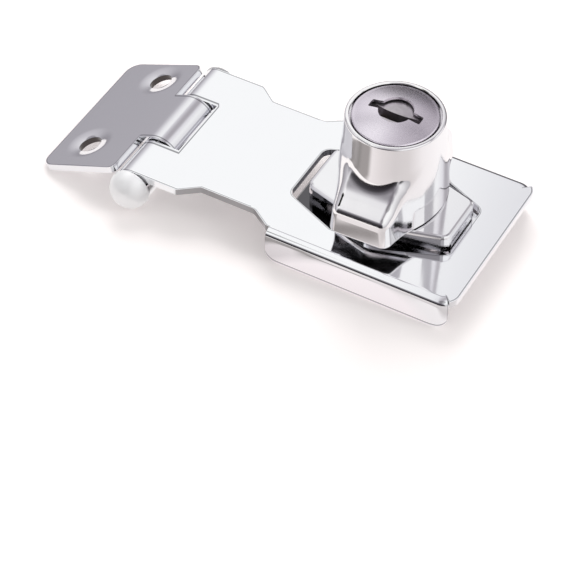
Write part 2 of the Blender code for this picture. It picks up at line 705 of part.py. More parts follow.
def wafer_heights():
    """Middle heights of the wafers, from the top one down."""
    return [WAFER_TOP_Z - i * WAFER_PITCH for i in range(WAFER_COUNT)]


def dome(r, low_edge, crown, reach):
    """Height of a shallow dome at a radius."""
    return low_edge + crown * (1.0 - (r / reach) ** 2)


def keyhole_outline():
    """Slot with a round eye in its middle."""
    half = KEYHOLE_WIDTH / 2.0
    a = math.degrees(math.asin(half / KEYHOLE_EYE_R))
    eye = arc(0.0, 0.0, KEYHOLE_EYE_R, a, 180.0 - a, 16)
    corner = 0.3
    right = [(KEYHOLE_HALF, 0.0)] + arc(KEYHOLE_HALF - corner, half - corner, corner, 0, 90, 3)
    left = [(-x, y) for x, y in reversed(right)]
    upper = right + eye + left
    return upper + [(x, -y) for x, y in reversed(upper[1:-1])]


def make_cap():
    """Pressed steel cap over the plug's head, with the keyhole."""
    flat = CAP_R - CAP_EDGE_R
    outer = [(r, dome(r, KNOB_TOP, CAP_CROWN, flat)) for r in np.linspace(0.0, flat, 8)]
    outer += arc(flat, KNOB_TOP - CAP_EDGE_R, CAP_EDGE_R, 90, 0, 4)[1:]
    outer.append((CAP_R, KNOB_TOP - CAP_SKIRT))
    within = CAP_R - CAP_SHEET
    inner = [(within, KNOB_TOP - CAP_SKIRT)]
    inner += [(r, dome(r, KNOB_TOP, CAP_CROWN, flat) - CAP_SHEET) for r in np.linspace(within, 0.0, 8)]
    obj = put("keyhole_cap", turned(outer + inner, 64), SATIN, smooth=True)
    combine(obj, cutter("keyhole_cut", plate(keyhole_outline(), [], KNOB_TOP - CAP_SKIRT, KNOB_TOP + 3.0)))
    return obj


def bowed_slot(half_length, width, bow, steps=9):
    """Slot outline whose middle line is an arc that bows towards -Y."""
    radius = (half_length ** 2 + bow ** 2) / (2.0 * bow)
    swing = math.degrees(math.asin(half_length / radius))
    centre = radius - bow
    outer = arc(0.0, centre, radius + width / 2.0, 270.0 - swing, 270.0 + swing, steps)
    inner = arc(0.0, centre, radius - width / 2.0, 270.0 + swing, 270.0 - swing, steps)
    return outer + inner


def make_plug():
    """Lock plug with its head, keyway, wafer slots and tail."""
    low = WEB_TOP + FIT
    head = RECESS_FLOOR + FIT
    top = KNOB_TOP - CAP_SHEET - FIT
    crown = [(r, dome(r, top, CAP_CROWN - 0.1, PLUG_HEAD_R)) for r in np.linspace(PLUG_HEAD_R, 0.0, 6)]
    profile = [(0.0, WEB_BOTTOM), (TAIL_R, WEB_BOTTOM), (TAIL_R, low), (PLUG_R, low), (PLUG_R, head),
               (PLUG_HEAD_R, head)] + crown
    obj = put("plug", turned(profile, 48), BRASS, smooth=True)
    key_head = plate(bowed_slot(KEYWAY_HEAD_HALF, KEYWAY_WIDTH, KEYWAY_BOW), [], head + 1.0, KNOB_TOP + 2.0)
    combine(obj, cutter("keyway_head", key_head))
    key_body = plate(bowed_slot(KEYWAY_BODY_HALF, KEYWAY_WIDTH, KEYWAY_BOW), [], KEYWAY_BOTTOM, head + 1.5)
    combine(obj, cutter("keyway_body", key_body))
    side = WAFER_HALF_Y + FIT
    reach = PLUG_R + 1.0
    left = LUG_X - 2.0 * FIT - SPRING_LENGTH
    right = LUG_X + LUG_WIDTH + WAFER_TRAVEL + FIT
    shape = [(-reach, -side), (reach, -side), (reach, side), (right, side), (right, reach),
             (left, reach), (left, side), (-reach, side)]
    deep = WAFER_THICK / 2.0 + FIT
    slots = [plate(shape, [], z - deep, z + deep) for z in wafer_heights()]
    combine(obj, cutter("wafer_slots", merged(slots)))
    screw_end = cam_bottom() + CAM_SCREW_LENGTH + FIT
    hole = turned([(0.0, WEB_BOTTOM - 1.0), (CAM_SCREW_R + FIT, WEB_BOTTOM - 1.0),
                   (CAM_SCREW_R + FIT, screw_end), (0.0, screw_end)], 16)
    combine(obj, cutter("cam_screw_hole", hole))
    return obj


def make_wafers():
    """Flat wafers with a window for the key and a lug for the spring."""
    a = math.degrees(math.asin(WAFER_HALF_Y / WAFER_R))
    right = arc(0.0, 0.0, WAFER_R, -a, a, 8)
    lug = [(LUG_X + LUG_WIDTH, WAFER_HALF_Y), (LUG_X + LUG_WIDTH, LUG_TIP), (LUG_X, LUG_TIP),
           (LUG_X, WAFER_HALF_Y)]
    left = arc(0.0, 0.0, WAFER_R, 180.0 - a, 180.0 + a, 8)
    window = rounded([(WINDOW_HALF_X, WINDOW_HIGH), (-WINDOW_HALF_X, WINDOW_HIGH),
                      (-WINDOW_HALF_X, WINDOW_LOW), (WINDOW_HALF_X, WINDOW_LOW)], [0.5] * 4, 3)
    for i, z in enumerate(wafer_heights(), 1):
        low = z - WAFER_THICK / 2.0
        put(f"wafer_{i}", plate(right + lug + left, [window], low, low + WAFER_THICK), BRASS)


def make_springs():
    """Small wire springs, each between the plug and the lug of one wafer."""
    start = LUG_X - FIT - SPRING_LENGTH
    pull = SPRING_LENGTH - 2.0 * SPRING_WIRE
    steps = 10 * SPRING_TURNS
    middle_y = WAFER_HALF_Y + FIT + SPRING_R + SPRING_WIRE + 0.05
    for i, z in enumerate(wafer_heights(), 1):
        rings = []
        for k in range(steps + 1):
            t = k / steps
            a = 2.0 * math.pi * SPRING_TURNS * t
            out = np.array((0.0, math.cos(a), math.sin(a)))
            centre = np.array((start + SPRING_WIRE + pull * t, middle_y, z)) + SPRING_R * out
            ring = []
            for b in np.linspace(0.0, 2.0 * math.pi, 5, endpoint=False):
                p = centre + SPRING_WIRE * (math.cos(b) * out + math.sin(b) * np.array((1.0, 0.0, 0.0)))
                ring.append(tuple(p))
            rings.append(ring)
        put(f"wafer_spring_{i}", loft(rings), STEEL, smooth=True)


def make_cam():
    """Cam disc on the plug's tail with its crank pin, and the screw that holds it."""
    low = cam_bottom()
    head = CAM_SCREW_HEAD_R + FIT
    shank = CAM_SCREW_R + FIT
    disc = [(head, low), (CAM_R, low), (CAM_R, low + CAM_THICK), (shank, low + CAM_THICK),
            (shank, low + head - shank)]
    obj = put("cam", turned(disc, 36), STEEL, smooth=True)
    pin = turned([(0.0, low - CRANK_PIN_LENGTH), (CRANK_PIN_R, low - CRANK_PIN_LENGTH),
                  (CRANK_PIN_R, low + 0.4), (0.0, low + 0.4)], 16)
    bmesh.ops.translate(pin, vec=(0.0, -CRANK, 0.0), verts=pin.verts)
    combine(obj, cutter("crank_pin", pin), "UNION")
    cone = CAM_SCREW_HEAD_R - CAM_SCREW_R
    screw = [(0.0, low + 0.2), (CAM_SCREW_HEAD_R - 0.2, low + 0.2), (CAM_SCREW_R, low + 0.2 + cone - 0.2),
             (CAM_SCREW_R, low + CAM_SCREW_LENGTH), (0.0, low + CAM_SCREW_LENGTH)]
    screw_obj = put("cam_screw", turned(screw, 20), STEEL, smooth=True)
    slot = box((-2.0, -0.2, low - 0.5), (2.0, 0.2, low + 0.45))
    combine(screw_obj, cutter("screw_slot", slot))


def make_bolt():
    """Flat bolt with an open cross slot for the crank pin."""
    lag = CRANK * 0.2105
    play = CRANK_PIN_R + FIT
    half = BOLT_HALF_Y
    front = BOLT_FRONT
    outline = [(BOLT_BACK, -half), (-play, -half), (-play, play), (play + lag, play), (play + lag, -half),
               (front - BOLT_NOSE_X, -half), (front, BOLT_NOSE_Y - half), (front, half - BOLT_NOSE_Y),
               (front - BOLT_NOSE_X, half), (BOLT_BACK, half)]
    put("lock_bolt", plate(outline, [], bolt_bottom(), bolt_top()), STEEL)


def make_small_parts():
    """Stop pin, thrust washer, wave washer and snap ring."""
    low = BOSS_TOP - STOP_DEPTH + FIT
    high = stop_pin_top()
    pin = turned([(0.0, low), (STOP_PIN_R - 0.15, low), (STOP_PIN_R, low + 0.15), (STOP_PIN_R, high - 0.15),
                  (STOP_PIN_R - 0.15, high), (0.0, high)], 20)
    bmesh.ops.translate(pin, vec=(*stop_pin_place(), 0.0), verts=pin.verts)
    put("stop_pin", pin, STEEL, smooth=True)

    inner = SPIGOT_R + FIT
    outer = BASE_SEAT_R - FIT
    top = BASE_SEAT_DEPTH - FIT
    circle = arc(0.0, 0.0, outer, 0, 352.5, 47)
    hole = arc(0.0, 0.0, inner, 0, 352.5, 47)
    put("thrust_washer", plate(circle, [hole], top - WASHER_THICK, top), STEEL)

    ring_top = RING_GROOVE_TOP - FIT
    middle = 0.5 * (ring_top + top - WASHER_THICK) - WAVE_THICK / 2.0
    rings = []
    for a in np.radians(np.linspace(0.0, 360.0, 48, endpoint=False)):
        z = middle + WAVE_HEIGHT * math.sin(3.0 * a)
        c = math.cos(a)
        s = math.sin(a)
        rings.append([(inner * c, inner * s, z), (outer * c, outer * s, z),
                      (outer * c, outer * s, z + WAVE_THICK), (inner * c, inner * s, z + WAVE_THICK)])
    bm = bmesh.new()
    rows = [[bm.verts.new(p) for p in ring] for ring in rings]
    for a, b in zip(rows, rows[1:] + rows[:1]):
        for i in range(4):
            j = (i + 1) % 4
            bm.faces.new((a[i], a[j], b[j], b[i]))
    put("wave_washer", bm, STEEL)

    ring_in = RING_GROOVE_R + FIT
    ring_out = outer - RING_INSET
    outline = arc(0.0, 0.0, ring_out, RING_GAP_HALF, 360.0 - RING_GAP_HALF, 40)
    outline += arc(0.0, 0.0, ring_in, 360.0 - RING_GAP_HALF, RING_GAP_HALF, 40)
    put("snap_ring", plate(outline, [], ring_top - RING_THICK, ring_top), STEEL)


def main():
    """Clears the scene and makes every piece."""
    for obj in list(bpy.data.objects):
        bpy.data.objects.remove(obj, do_unlink=True)
    make_strap()
    make_leaf()
    make_hinge_pin()
    make_lock_base()
    make_knob()
    make_cap()
    make_plug()
    make_wafers()
    make_springs()
    make_cam()
    make_bolt()
    make_small_parts()


main()
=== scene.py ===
# %% [markdown]
# # Keyed twist-knob hasp
# A hasp is a folded strap on a hinge. Its slot drops over the boss of a lock base, and a knob with a crosswise
# wing turns over the slot to hold the strap down. Nearly all of it is chrome plated, so what the eye sees is the
# studio round it, bent by each surface. The shapes are therefore worked out exactly, with even rows of points and
# small rolled edges, because a mirror shows every flat facet.

import math

import bmesh
import bpy
import numpy as np
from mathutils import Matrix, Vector


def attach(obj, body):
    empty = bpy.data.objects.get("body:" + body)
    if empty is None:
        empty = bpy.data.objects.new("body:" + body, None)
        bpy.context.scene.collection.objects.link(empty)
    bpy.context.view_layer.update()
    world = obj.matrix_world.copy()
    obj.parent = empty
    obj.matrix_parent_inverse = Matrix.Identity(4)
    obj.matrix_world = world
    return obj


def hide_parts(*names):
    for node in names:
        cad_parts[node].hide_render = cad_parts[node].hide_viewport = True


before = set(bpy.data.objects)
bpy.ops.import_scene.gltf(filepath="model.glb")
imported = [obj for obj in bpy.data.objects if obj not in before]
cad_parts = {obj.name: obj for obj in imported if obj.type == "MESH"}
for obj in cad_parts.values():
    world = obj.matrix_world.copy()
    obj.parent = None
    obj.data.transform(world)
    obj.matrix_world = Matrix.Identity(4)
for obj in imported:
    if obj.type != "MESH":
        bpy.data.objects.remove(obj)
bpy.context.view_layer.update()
MM = 0.001
TURN = 2.0 * math.pi
print("nodes in the frame:", len(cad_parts))

# %% [markdown]
# ## Drawing surfaces
# Every new surface here is a grid: rows of points, with a quad between four neighbours. Several grids that share
# a border are welded into one skin. Blender could also model them by hand in edit mode, but a formula keeps the
# curvature even, which polished metal needs.


# %% Grids and skins
def grid(points, closed=False):
    """Points and quads of a surface: each quad joins two neighbours of one row with the same two of the next row."""
    rows, columns = points.shape[:2]
    index = np.arange(rows * columns).reshape(rows, columns)
    if closed:
        index = np.concatenate([index, index[:, :1]], axis=1)
    quads = np.stack([index[:-1, :-1], index[:-1, 1:], index[1:, 1:], index[1:, :-1]], axis=-1)
    return points.reshape(-1, 3), quads.reshape(-1, 4)


def skin(name, patches, sharp=35.0, weld=0.004):
    """One smooth mesh from patches in millimetres: borders are welded and the faces made to point outwards."""
    starts = np.cumsum([0] + [len(points) for points, _ in patches[:-1]])
    points = np.concatenate([p for p, _ in patches]) * MM
    quads = np.concatenate([q + s for (_, q), s in zip(patches, starts)])
    mesh = bpy.data.meshes.new(name)
    mesh.from_pydata(points.tolist(), [], quads.tolist())
    bm = bmesh.new()
    bm.from_mesh(mesh)
    bmesh.ops.remove_doubles(bm, verts=bm.verts, dist=weld * MM)
    bmesh.ops.dissolve_degenerate(bm, edges=bm.edges, dist=weld * MM * 0.5)
    bmesh.ops.recalc_face_normals(bm, faces=bm.faces)
    highest = max(bm.faces, key=lambda f: f.calc_center_median().z)
    if highest.normal.z < 0.0:
        bmesh.ops.reverse_faces(bm, faces=bm.faces)
    bm.to_mesh(mesh)
    bm.free()
    mesh.shade_smooth()
    mesh.set_sharp_from_angle(angle=math.radians(sharp))
    obj = bpy.data.objects.new(name, mesh)
    bpy.context.scene.collection.objects.link(obj)
    return obj


print("a grid of 3 by 4 points has", len(grid(np.zeros((3, 4, 3)))[1]), "quads")


# %% Sheet and its edges
SHEET = 1.5


def mark(obj, name, values):
    """Keeps one number for each point of a mesh, under a name that its finish can read."""
    obj.data.attributes.new(name, "FLOAT", "POINT").data.foreach_set("value", np.asarray(values, np.float32))


def sheet_metal(obj, thickness, edge):
    """A drawn outer surface gets its sheet thickness inwards, and its sheared rim a small rolled edge. The points on
    the rim are marked with 1, all others with 0, so that the finish can differ there."""
    mesh = obj.data
    corners = np.zeros(len(mesh.loops), np.int32)
    mesh.loops.foreach_get("edge_index", corners)
    ends = np.zeros(len(mesh.edges) * 2, np.int32)
    mesh.edges.foreach_get("vertices", ends)
    open_edges = np.bincount(corners, minlength=len(mesh.edges)) == 1
    on_rim = np.zeros(len(mesh.vertices))
    on_rim[ends.reshape(-1, 2)[open_edges].ravel()] = 1.0
    mark(obj, "sheared_rim", on_rim)
    wall = obj.modifiers.new("Sheet thickness", "SOLIDIFY")
    wall.thickness = thickness * MM
    wall.offset = -1.0
    wall.use_even_offset = True
    rim = obj.modifiers.new("Tumbled edge", "BEVEL")
    rim.width = edge * MM
    rim.segments = 3
    rim.limit_method = "ANGLE"
    rim.angle_limit = math.radians(50.0)
    rim.harden_normals = True


print("sheet of the strap and the leaf:", SHEET, "mm")


# %% Outlines
def arc(cx, cy, radius, start, stop, steps):
    """Points of an arc: centre plus radius times cosine and sine of evenly spaced angles in degrees."""
    a = np.radians(np.linspace(start, stop, steps + 1))
    return np.stack([cx + radius * np.cos(a), cy + radius * np.sin(a)], axis=-1)


def rounded(corners, radii, steps=8):
    """Closed outline with rounded corners: each arc's centre lies on the corner's half angle, radius / sin away."""
    corners = np.array(corners, float)
    runs = []
    for p, before, after, radius in zip(corners, np.roll(corners, 1, 0), np.roll(corners, -1, 0), radii):
        if radius <= 0.0:
            runs.append(p[None, :])
            continue
        u = (before - p) / np.linalg.norm(before - p)
        v = (after - p) / np.linalg.norm(after - p)
        half = 0.5 * math.acos(float(np.clip(u @ v, -1.0, 1.0)))
        centre = p + (u + v) / np.linalg.norm(u + v) * radius / math.sin(half)
        first = p + u * radius / math.tan(half) - centre
        last = p + v * radius / math.tan(half) - centre
        a = math.atan2(first[1], first[0])
        swing = (math.atan2(last[1], last[0]) - a + math.pi) % TURN - math.pi
        runs.append(arc(*centre, radius, math.degrees(a), math.degrees(a + swing), steps))
    return np.concatenate(runs)


def both_halves(half):
    """Closed outline from its upper half, drawn from right to left: the lower half is its mirror image."""
    half = np.array(half, float)
    return np.concatenate([half, half[::-1] * (1.0, -1.0)])


square = both_halves([(5.0, 5.0), (-5.0, 5.0)])
print("square with rounded corners:", len(rounded(square, [1.0] * 4)), "points")


# %% Rings round a centre
def reach(outline, centre, angles):
    """Distance from a centre to an outline along each angle: the ray cuts the edge whose ends lie on its two sides,
    so the distance is cross(end, edge) divided by cross(direction, edge)."""
    ends = np.asarray(outline, float) - centre
    at = np.arctan2(ends[:, 1], ends[:, 0]) % TURN
    order = np.argsort(at)
    at = np.append(at[order], at[order][0] + TURN)
    ends = np.vstack([ends[order], ends[order][:1]])
    ray = np.where(angles % TURN < at[0], angles % TURN + TURN, angles % TURN)
    k = np.clip(np.searchsorted(at, ray + 1e-9, side="right") - 1, 0, len(at) - 2)
    p, edge = ends[k], ends[k + 1] - ends[k]
    return (p[:, 0] * edge[:, 1] - p[:, 1] * edge[:, 0]) / (np.cos(ray) * edge[:, 1] - np.sin(ray) * edge[:, 0])


def directions(centre, *outlines):
    """All the angles at which the outlines have a corner, sorted, without repeats."""
    found = [np.arctan2(*(np.asarray(o, float) - centre).T[::-1]) % TURN for o in outlines]
    angles = np.sort(np.concatenate(found))
    return angles[np.append(True, np.diff(angles) > 2e-5)]


def flat_ring(centre, angles, radii, height):
    """Flat ring between outlines: each row of radii is one loop of points round the centre."""
    x = centre[0] + radii * np.cos(angles)
    y = centre[1] + radii * np.sin(angles)
    return np.stack([x, y, np.full_like(x, height)], axis=-1)


print("from the middle of the square to its side:", reach(square, np.zeros(2), np.array([0.0, 0.5])).round(2), "mm")

# %% [markdown]
# ## Strap
# The strap is pressed from one piece of steel sheet: a flat top with the six-sided slot, two long flanges bent
# down, a waist, and two knuckles rolled round the pin. A box with cuts would show as sharp, dead edges. Here only
# the outer surface is drawn, a ring of rows between the slot and the outline, then the bends and the rolls as
# arcs carried along the edge. Solidify gives it the sheet's thickness and Bevel rolls the sheared rims.

# %% Strap sizes
RIM_ROW = 0.45
TOP = 7.3
BEND_R = 1.8
FLAT_HALF = 19.0 - BEND_R
HINGE = np.array((-49.2, 0.0, 3.4))
WAIST_X, WAIST_HALF, KNUCKLE_HALF = -24.0, 14.4, 17.4
MOUTH_X, MOUTH_HALF = -44.2, 7.5
SLOT_CENTRE = np.array((-1.4, 0.0))
FLANGE_LEFT, FLANGE_CORNER_R = -17.8, 2.6
FREE_CORNER = np.array((19.4, 15.6))
FREE_R = 3.4
WRAP_FROM, LIP_TO = 48.0, 46.5
FOOT_LENGTH, FOOT_RISE = 4.4, 2.7
print("strap, flat part:", 2.0 * FLAT_HALF, "mm wide, slot to hinge", SLOT_CENTRE[0] - HINGE[0], "mm")

# %% Strap top
slot_upper = [(16.1, 7.2), (4.39, 12.0), (-7.19, 12.0), (-18.9, 7.2)]
slot_edge = rounded(both_halves(slot_upper), [2.2, 1.0, 1.0, 2.2] * 2, 10)
rounding = FLANGE_CORNER_R * (1.0 - np.cos(np.radians(np.linspace(0.0, 90.0, 10))))
bend_x = np.concatenate([np.linspace(18.4, -14.0, 34), FLANGE_LEFT + rounding[::-1]])
bend_line = np.stack([bend_x, np.full_like(bend_x, FLAT_HALF)], -1)
free_end = np.concatenate([arc(*FREE_CORNER, FREE_R - BEND_R, 0, LIP_TO, 8),
                           arc(*FREE_CORNER, FREE_R - BEND_R, WRAP_FROM, 90, 10)])
shoulder = rounded([(-17.8, FLAT_HALF), (-18.6, FLAT_HALF), (-22.8, WAIST_HALF), (WAIST_X, WAIST_HALF),
                    (WAIST_X, 0.0)], [0.0, 1.2, 1.5, 0.0, 0.0], 8)[1:-1]
waist_shares = (0.968, 0.85, 0.7, 0.55, MOUTH_HALF / KNUCKLE_HALF, 0.28, 0.14)
waist_line = [(WAIST_X, WAIST_HALF * s) for s in waist_shares]
top_edge = both_halves(np.concatenate([free_end, bend_line, shoulder, waist_line]))

angles = directions(SLOT_CENTRE, slot_edge, top_edge)
near, far = reach(slot_edge, SLOT_CENTRE, angles), reach(top_edge, SLOT_CENTRE, angles)
share = np.array((0.15, 0.3, 0.5, 0.7, 0.85))[:, None]
ring_rows = np.concatenate([[near, near + RIM_ROW], near + (far - near) * share, [far - RIM_ROW, far]])
top_ring = flat_ring(SLOT_CENTRE, angles, ring_rows, TOP)
rim = top_ring[-1]
print("strap top:", len(ring_rows), "rows of", len(angles), "points")


# %% [markdown]
# The two flanges and the lip at the free end start from the ring's last row. Their sections are carried along that
# row: a place on it, plus a distance along the outward direction there. So bend and lip meet the flat top without
# a seam, and the flange can turn round the corner as the sheet does, with a small cut between flange and lip that
# lets the sheet bend.

# %% Sections carried along the rim
def round_corner(side, low, high):
    """Rim points on a free corner's arc between two angles, and the direction of each from the arc's centre."""
    off = rim[:, :2] - FREE_CORNER * (1.0, side)
    off[:, 1] *= side
    turn = np.degrees(np.arctan2(off[:, 1], off[:, 0]))
    on_arc = np.abs(np.hypot(off[:, 0], off[:, 1]) - (FREE_R - BEND_R)) < 3e-3
    on = on_arc & (turn > low - 0.01) & (turn < high + 0.01)
    order = np.argsort(-turn[on])
    out = off[on][order] / np.linalg.norm(off[on][order], axis=1)[:, None] * (1.0, side)
    return rim[on][order][:, :2], out


def carried(places, out, section):
    """A section (distance outwards, height) carried along the rim: place plus distance times outward direction."""
    flat = places[None, :, :] + section[..., :1] * out[None, :, :]
    return np.concatenate([flat, np.broadcast_to(section[..., 1:], flat.shape[:2] + (1,))], -1)


print("rim points on the free corner:", len(round_corner(1.0, WRAP_FROM, 90.0)[0]))


# %% Flanges and lip
def flange_patch(side):
    """Side flange: a quarter bend, then straight down. It goes on round the free corner for 42 degrees, where its
    lower edge rises like a quarter ellipse, 4.4 long and 2.7 high, while the other end is a quarter circle."""
    on_side = np.abs(rim[:, 1] - side * FLAT_HALF) < 1e-4
    straight = rim[on_side & (rim[:, 0] > FLANGE_LEFT - 1e-4) & (rim[:, 0] < FREE_CORNER[0] - 1e-3)]
    straight = straight[np.argsort(straight[:, 0])][:, :2]
    bent, bent_out = round_corner(side, WRAP_FROM, 90.0)
    places = np.concatenate([straight, bent])
    out = np.concatenate([np.tile((0.0, side), (len(straight), 1)), bent_out])
    length = places[:, 0] - FLANGE_LEFT
    turn = np.arctan2(out[:, 0], out[:, 1] * side)
    length[turn > 0] = FREE_CORNER[0] - FLANGE_LEFT + FREE_R * turn[turn > 0]
    whole = FREE_CORNER[0] - FLANGE_LEFT + FREE_R * math.radians(90.0 - WRAP_FROM)
    near_end = np.clip(1.0 - length / FLANGE_CORNER_R, 0.0, 1.0)
    far_end = np.clip(1.0 - (whole - length) / FOOT_LENGTH, 0.0, 1.0)
    foot = FLANGE_CORNER_R * (1.0 - np.sqrt(1.0 - near_end ** 2)) + FOOT_RISE * (1.0 - np.sqrt(1.0 - far_end ** 2))
    bend = arc(0.0, TOP - BEND_R, BEND_R, 90, 0, 14)
    down = np.linspace(0.0, 1.0, 7)[1:, None]
    z = (TOP - BEND_R) * (1.0 - down) + foot * down
    wall = np.stack([np.full_like(z, BEND_R), z], -1)
    return grid(np.concatenate([carried(places, out, bend[:, None, :]), carried(places, out, wall)]))


def lip_patch():
    """Free end: the flat top goes on outwards from the rim between the two wrapped flanges."""
    upper, upper_out = round_corner(1.0, -1.0, LIP_TO)
    lower, lower_out = round_corner(-1.0, -1.0, LIP_TO)
    at_end = np.abs(rim[:, 0] - FREE_CORNER[0] - (FREE_R - BEND_R)) < 1e-4
    straight = rim[at_end & (np.abs(rim[:, 1]) < FREE_CORNER[1] - 1e-3)]
    straight = straight[np.argsort(-straight[:, 1])][:, :2]
    places = np.concatenate([upper, straight, lower[::-1]])
    out = np.concatenate([upper_out, np.tile((1.0, 0.0), (len(straight), 1)), lower_out[::-1]])
    flat = np.stack([np.linspace(0.0, BEND_R, 4), np.full(4, TOP)], -1)
    return grid(carried(places, out, flat[:, None, :]))


strap_patches = [grid(top_ring, closed=True), flange_patch(1.0), flange_patch(-1.0), lip_patch()]
print("quads in the ring, the flanges and the lip:", [len(quads) for _, quads in strap_patches])

# %% Neck and knuckles
waist_y = np.sort(rim[np.abs(rim[:, 0] - WAIST_X) < 1e-4, 1]) / WAIST_HALF
flare = rounded([(0.0, 0.0), (WAIST_X, WAIST_HALF), (-34.9, WAIST_HALF), (-38.8, KNUCKLE_HALF),
                 (MOUTH_X, KNUCKLE_HALF)], [0.0, 0.0, 0.8, 0.8, 0.0], 6)[1:]
neck_x = np.unique(np.concatenate([flare[:, 0], np.linspace(WAIST_X, MOUTH_X, 24)]))[::-1]
neck_half = np.interp(neck_x, flare[::-1, 0], flare[::-1, 1])
neck = np.stack([np.repeat(neck_x[:, None], len(waist_y), 1), neck_half[:, None] * waist_y,
                 np.full((len(neck_x), len(waist_y)), TOP)], -1)


def along_hinge(path, y):
    """A path (x, z) drawn out along the hinge line, Y: one row for each point of the path."""
    return np.stack([np.repeat(path[:, :1], len(y), 1), np.repeat(y[None, :], len(path), 0),
                     np.repeat(path[:, 1:], len(y), 1)], -1)


def knuckle_patch(keep):
    """Strap knuckle: a straight run to above the pin, then an arc of 295 degrees round the hinge line."""
    run = np.stack([np.linspace(MOUTH_X, HINGE[0], 7), np.full(7, TOP)], -1)[:-1]
    roll = arc(HINGE[0], HINGE[2], TOP - HINGE[2], 90, 385, 72)
    return grid(along_hinge(np.concatenate([run, roll]), KNUCKLE_HALF * waist_y[keep]))


mouth = MOUTH_HALF / KNUCKLE_HALF - 1e-4
strap_patches += [grid(neck), knuckle_patch(waist_y > mouth), knuckle_patch(waist_y < -mouth)]
strap = skin("strap_sheet", strap_patches, sharp=60.0)
sheet_metal(strap, SHEET, 0.3)
print("strap faces before its thickness:", len(strap.data.polygons))

# %% [markdown]
# ## Leaf
# The leaf screws to the door or box. It is the same sheet, rolled into one middle knuckle, and its two screw
# holes are staggered and slightly dished. Each hole gets its own ring of rows, so that the dish stays round, and
# the rings meet along a line between the holes.

# %% Leaf sizes
LEAF_TILT = -22.74
LEAF_TOP = 4.6
LEAF_FAR, LEAF_NEAR, LEAF_SIDE = -21.95, -2.85, 17.6
HOLE_R, DISH_R, DISH_DEPTH = 2.35, 4.9, 0.42
FRONT_HOLE, BACK_HOLE = (-14.3, -9.85), (-10.5, 12.05)
TONGUE_HALF = 7.2
DIVIDE_Y = 1.0

divide_x = np.append(np.linspace(LEAF_NEAR, LEAF_FAR + RIM_ROW, 16), LEAF_FAR)
divide = np.stack([divide_x, np.full_like(divide_x, DIVIDE_Y)], -1)
tongue_front = np.stack([np.full(9, LEAF_NEAR), np.linspace(-TONGUE_HALF, DIVIDE_Y, 9)], -1)
tongue_back = np.stack([np.full(7, LEAF_NEAR), np.linspace(DIVIDE_Y, TONGUE_HALF, 7)], -1)
print("leaf:", 2.0 * LEAF_SIDE, "mm wide, tilted by", LEAF_TILT, "degrees")


# %% Leaf halves
def tilted(points, degrees, origin):
    """Points turned about the hinge line's direction, Y, and then moved to the hinge."""
    a = math.radians(degrees)
    x, y, z = points[..., 0], points[..., 1], points[..., 2]
    turned_points = np.stack([math.cos(a) * x + math.sin(a) * z, y, math.cos(a) * z - math.sin(a) * x], axis=-1)
    return turned_points + np.array(origin)


def filled(outline, spacing):
    """The same outline with more points: each long side is shared out evenly, none longer than the spacing."""
    runs = []
    for a, b in zip(outline, np.roll(outline, -1, 0)):
        count = max(int(np.linalg.norm(b - a) / spacing), 1)
        runs.append(a + (b - a) * (np.arange(count) / count)[:, None])
    return np.concatenate(runs)


def leaf_half(side, hole, line):
    """Half of the leaf with one hole: loops round the hole, circles at first, that end on the leaf's own outline.
    The dish lowers the skin by its depth times (1 - distance)^1.6."""
    block = rounded([(LEAF_NEAR, DIVIDE_Y), (LEAF_NEAR, side * LEAF_SIDE), (LEAF_FAR, side * LEAF_SIDE),
                     (LEAF_FAR, DIVIDE_Y)], [0.0, 1.6, 2.8, 0.0], 8)[1:-1]
    edge = filled(np.concatenate([line, block, divide[::-1]]), 1.3)
    centre = np.array(hole)
    angles = directions(centre, edge)
    far = reach(edge, centre, angles)
    circles = np.array((HOLE_R, 2.5, 2.75, 3.1, 3.5, 4.0, 4.5, DISH_R, 5.25))
    rest = far - circles[-1]
    loops = [np.full_like(far, r) for r in circles] + [circles[-1] + rest * s for s in (0.3, 0.65)]
    loops += [np.maximum(far - RIM_ROW, circles[-1] + rest * 0.82), far]
    radii = np.array(loops)
    flat = flat_ring(centre, angles, radii, LEAF_TOP)
    out = np.clip((radii - HOLE_R) / (DISH_R - HOLE_R), 0.0, 1.0)
    flat[..., 2] -= DISH_DEPTH * (1.0 - out) ** 1.6
    return flat


front_half = leaf_half(-1.0, FRONT_HOLE, tongue_front[::-1])
back_half = leaf_half(1.0, BACK_HOLE, tongue_back)
print("leaf halves:", front_half.shape[:2], "and", back_half.shape[:2])


# %% Leaf knuckle
def at_tongue(half):
    """The Y places at which a half of the leaf meets the tongue."""
    last = half[-1]
    met = (np.abs(last[:, 0] - LEAF_NEAR) < 1e-3) & (np.abs(last[:, 1]) < TONGUE_HALF + 1e-3)
    return last[met, 1]


tongue_y = np.unique(np.round(np.concatenate([at_tongue(front_half), at_tongue(back_half)]), 5))
run = np.stack([np.linspace(LEAF_NEAR, 0.0, 5), np.full(5, LEAF_TOP)], -1)[:-1]
roll = np.concatenate([run, arc(0.0, 0.0, LEAF_TOP, 90, -195, 72)])
tongue = along_hinge(roll, tongue_y)
leaf_patches = [grid(tilted(front_half, LEAF_TILT, HINGE), True), grid(tilted(back_half, LEAF_TILT, HINGE), True),
                grid(tilted(tongue, LEAF_TILT, HINGE))]
leaf = skin("leaf_sheet", leaf_patches, sharp=60.0)
leaf_points = np.zeros(len(leaf.data.vertices) * 3, np.float32)
leaf.data.vertices.foreach_get("co", leaf_points)
hole_edges = np.array([(*hole, LEAF_TOP - DISH_DEPTH) for hole in (FRONT_HOLE, BACK_HOLE)])
hole_centres = tilted(hole_edges, LEAF_TILT, HINGE)
from_holes = np.linalg.norm(leaf_points.reshape(-1, 1, 3) / MM - hole_centres, axis=2).min(axis=1)
# Marks the holes' edges, where the leaf's finish paints shade.
mark(leaf, "pierced_edge", from_holes < HOLE_R + 0.05)
sheet_metal(leaf, SHEET, 0.22)
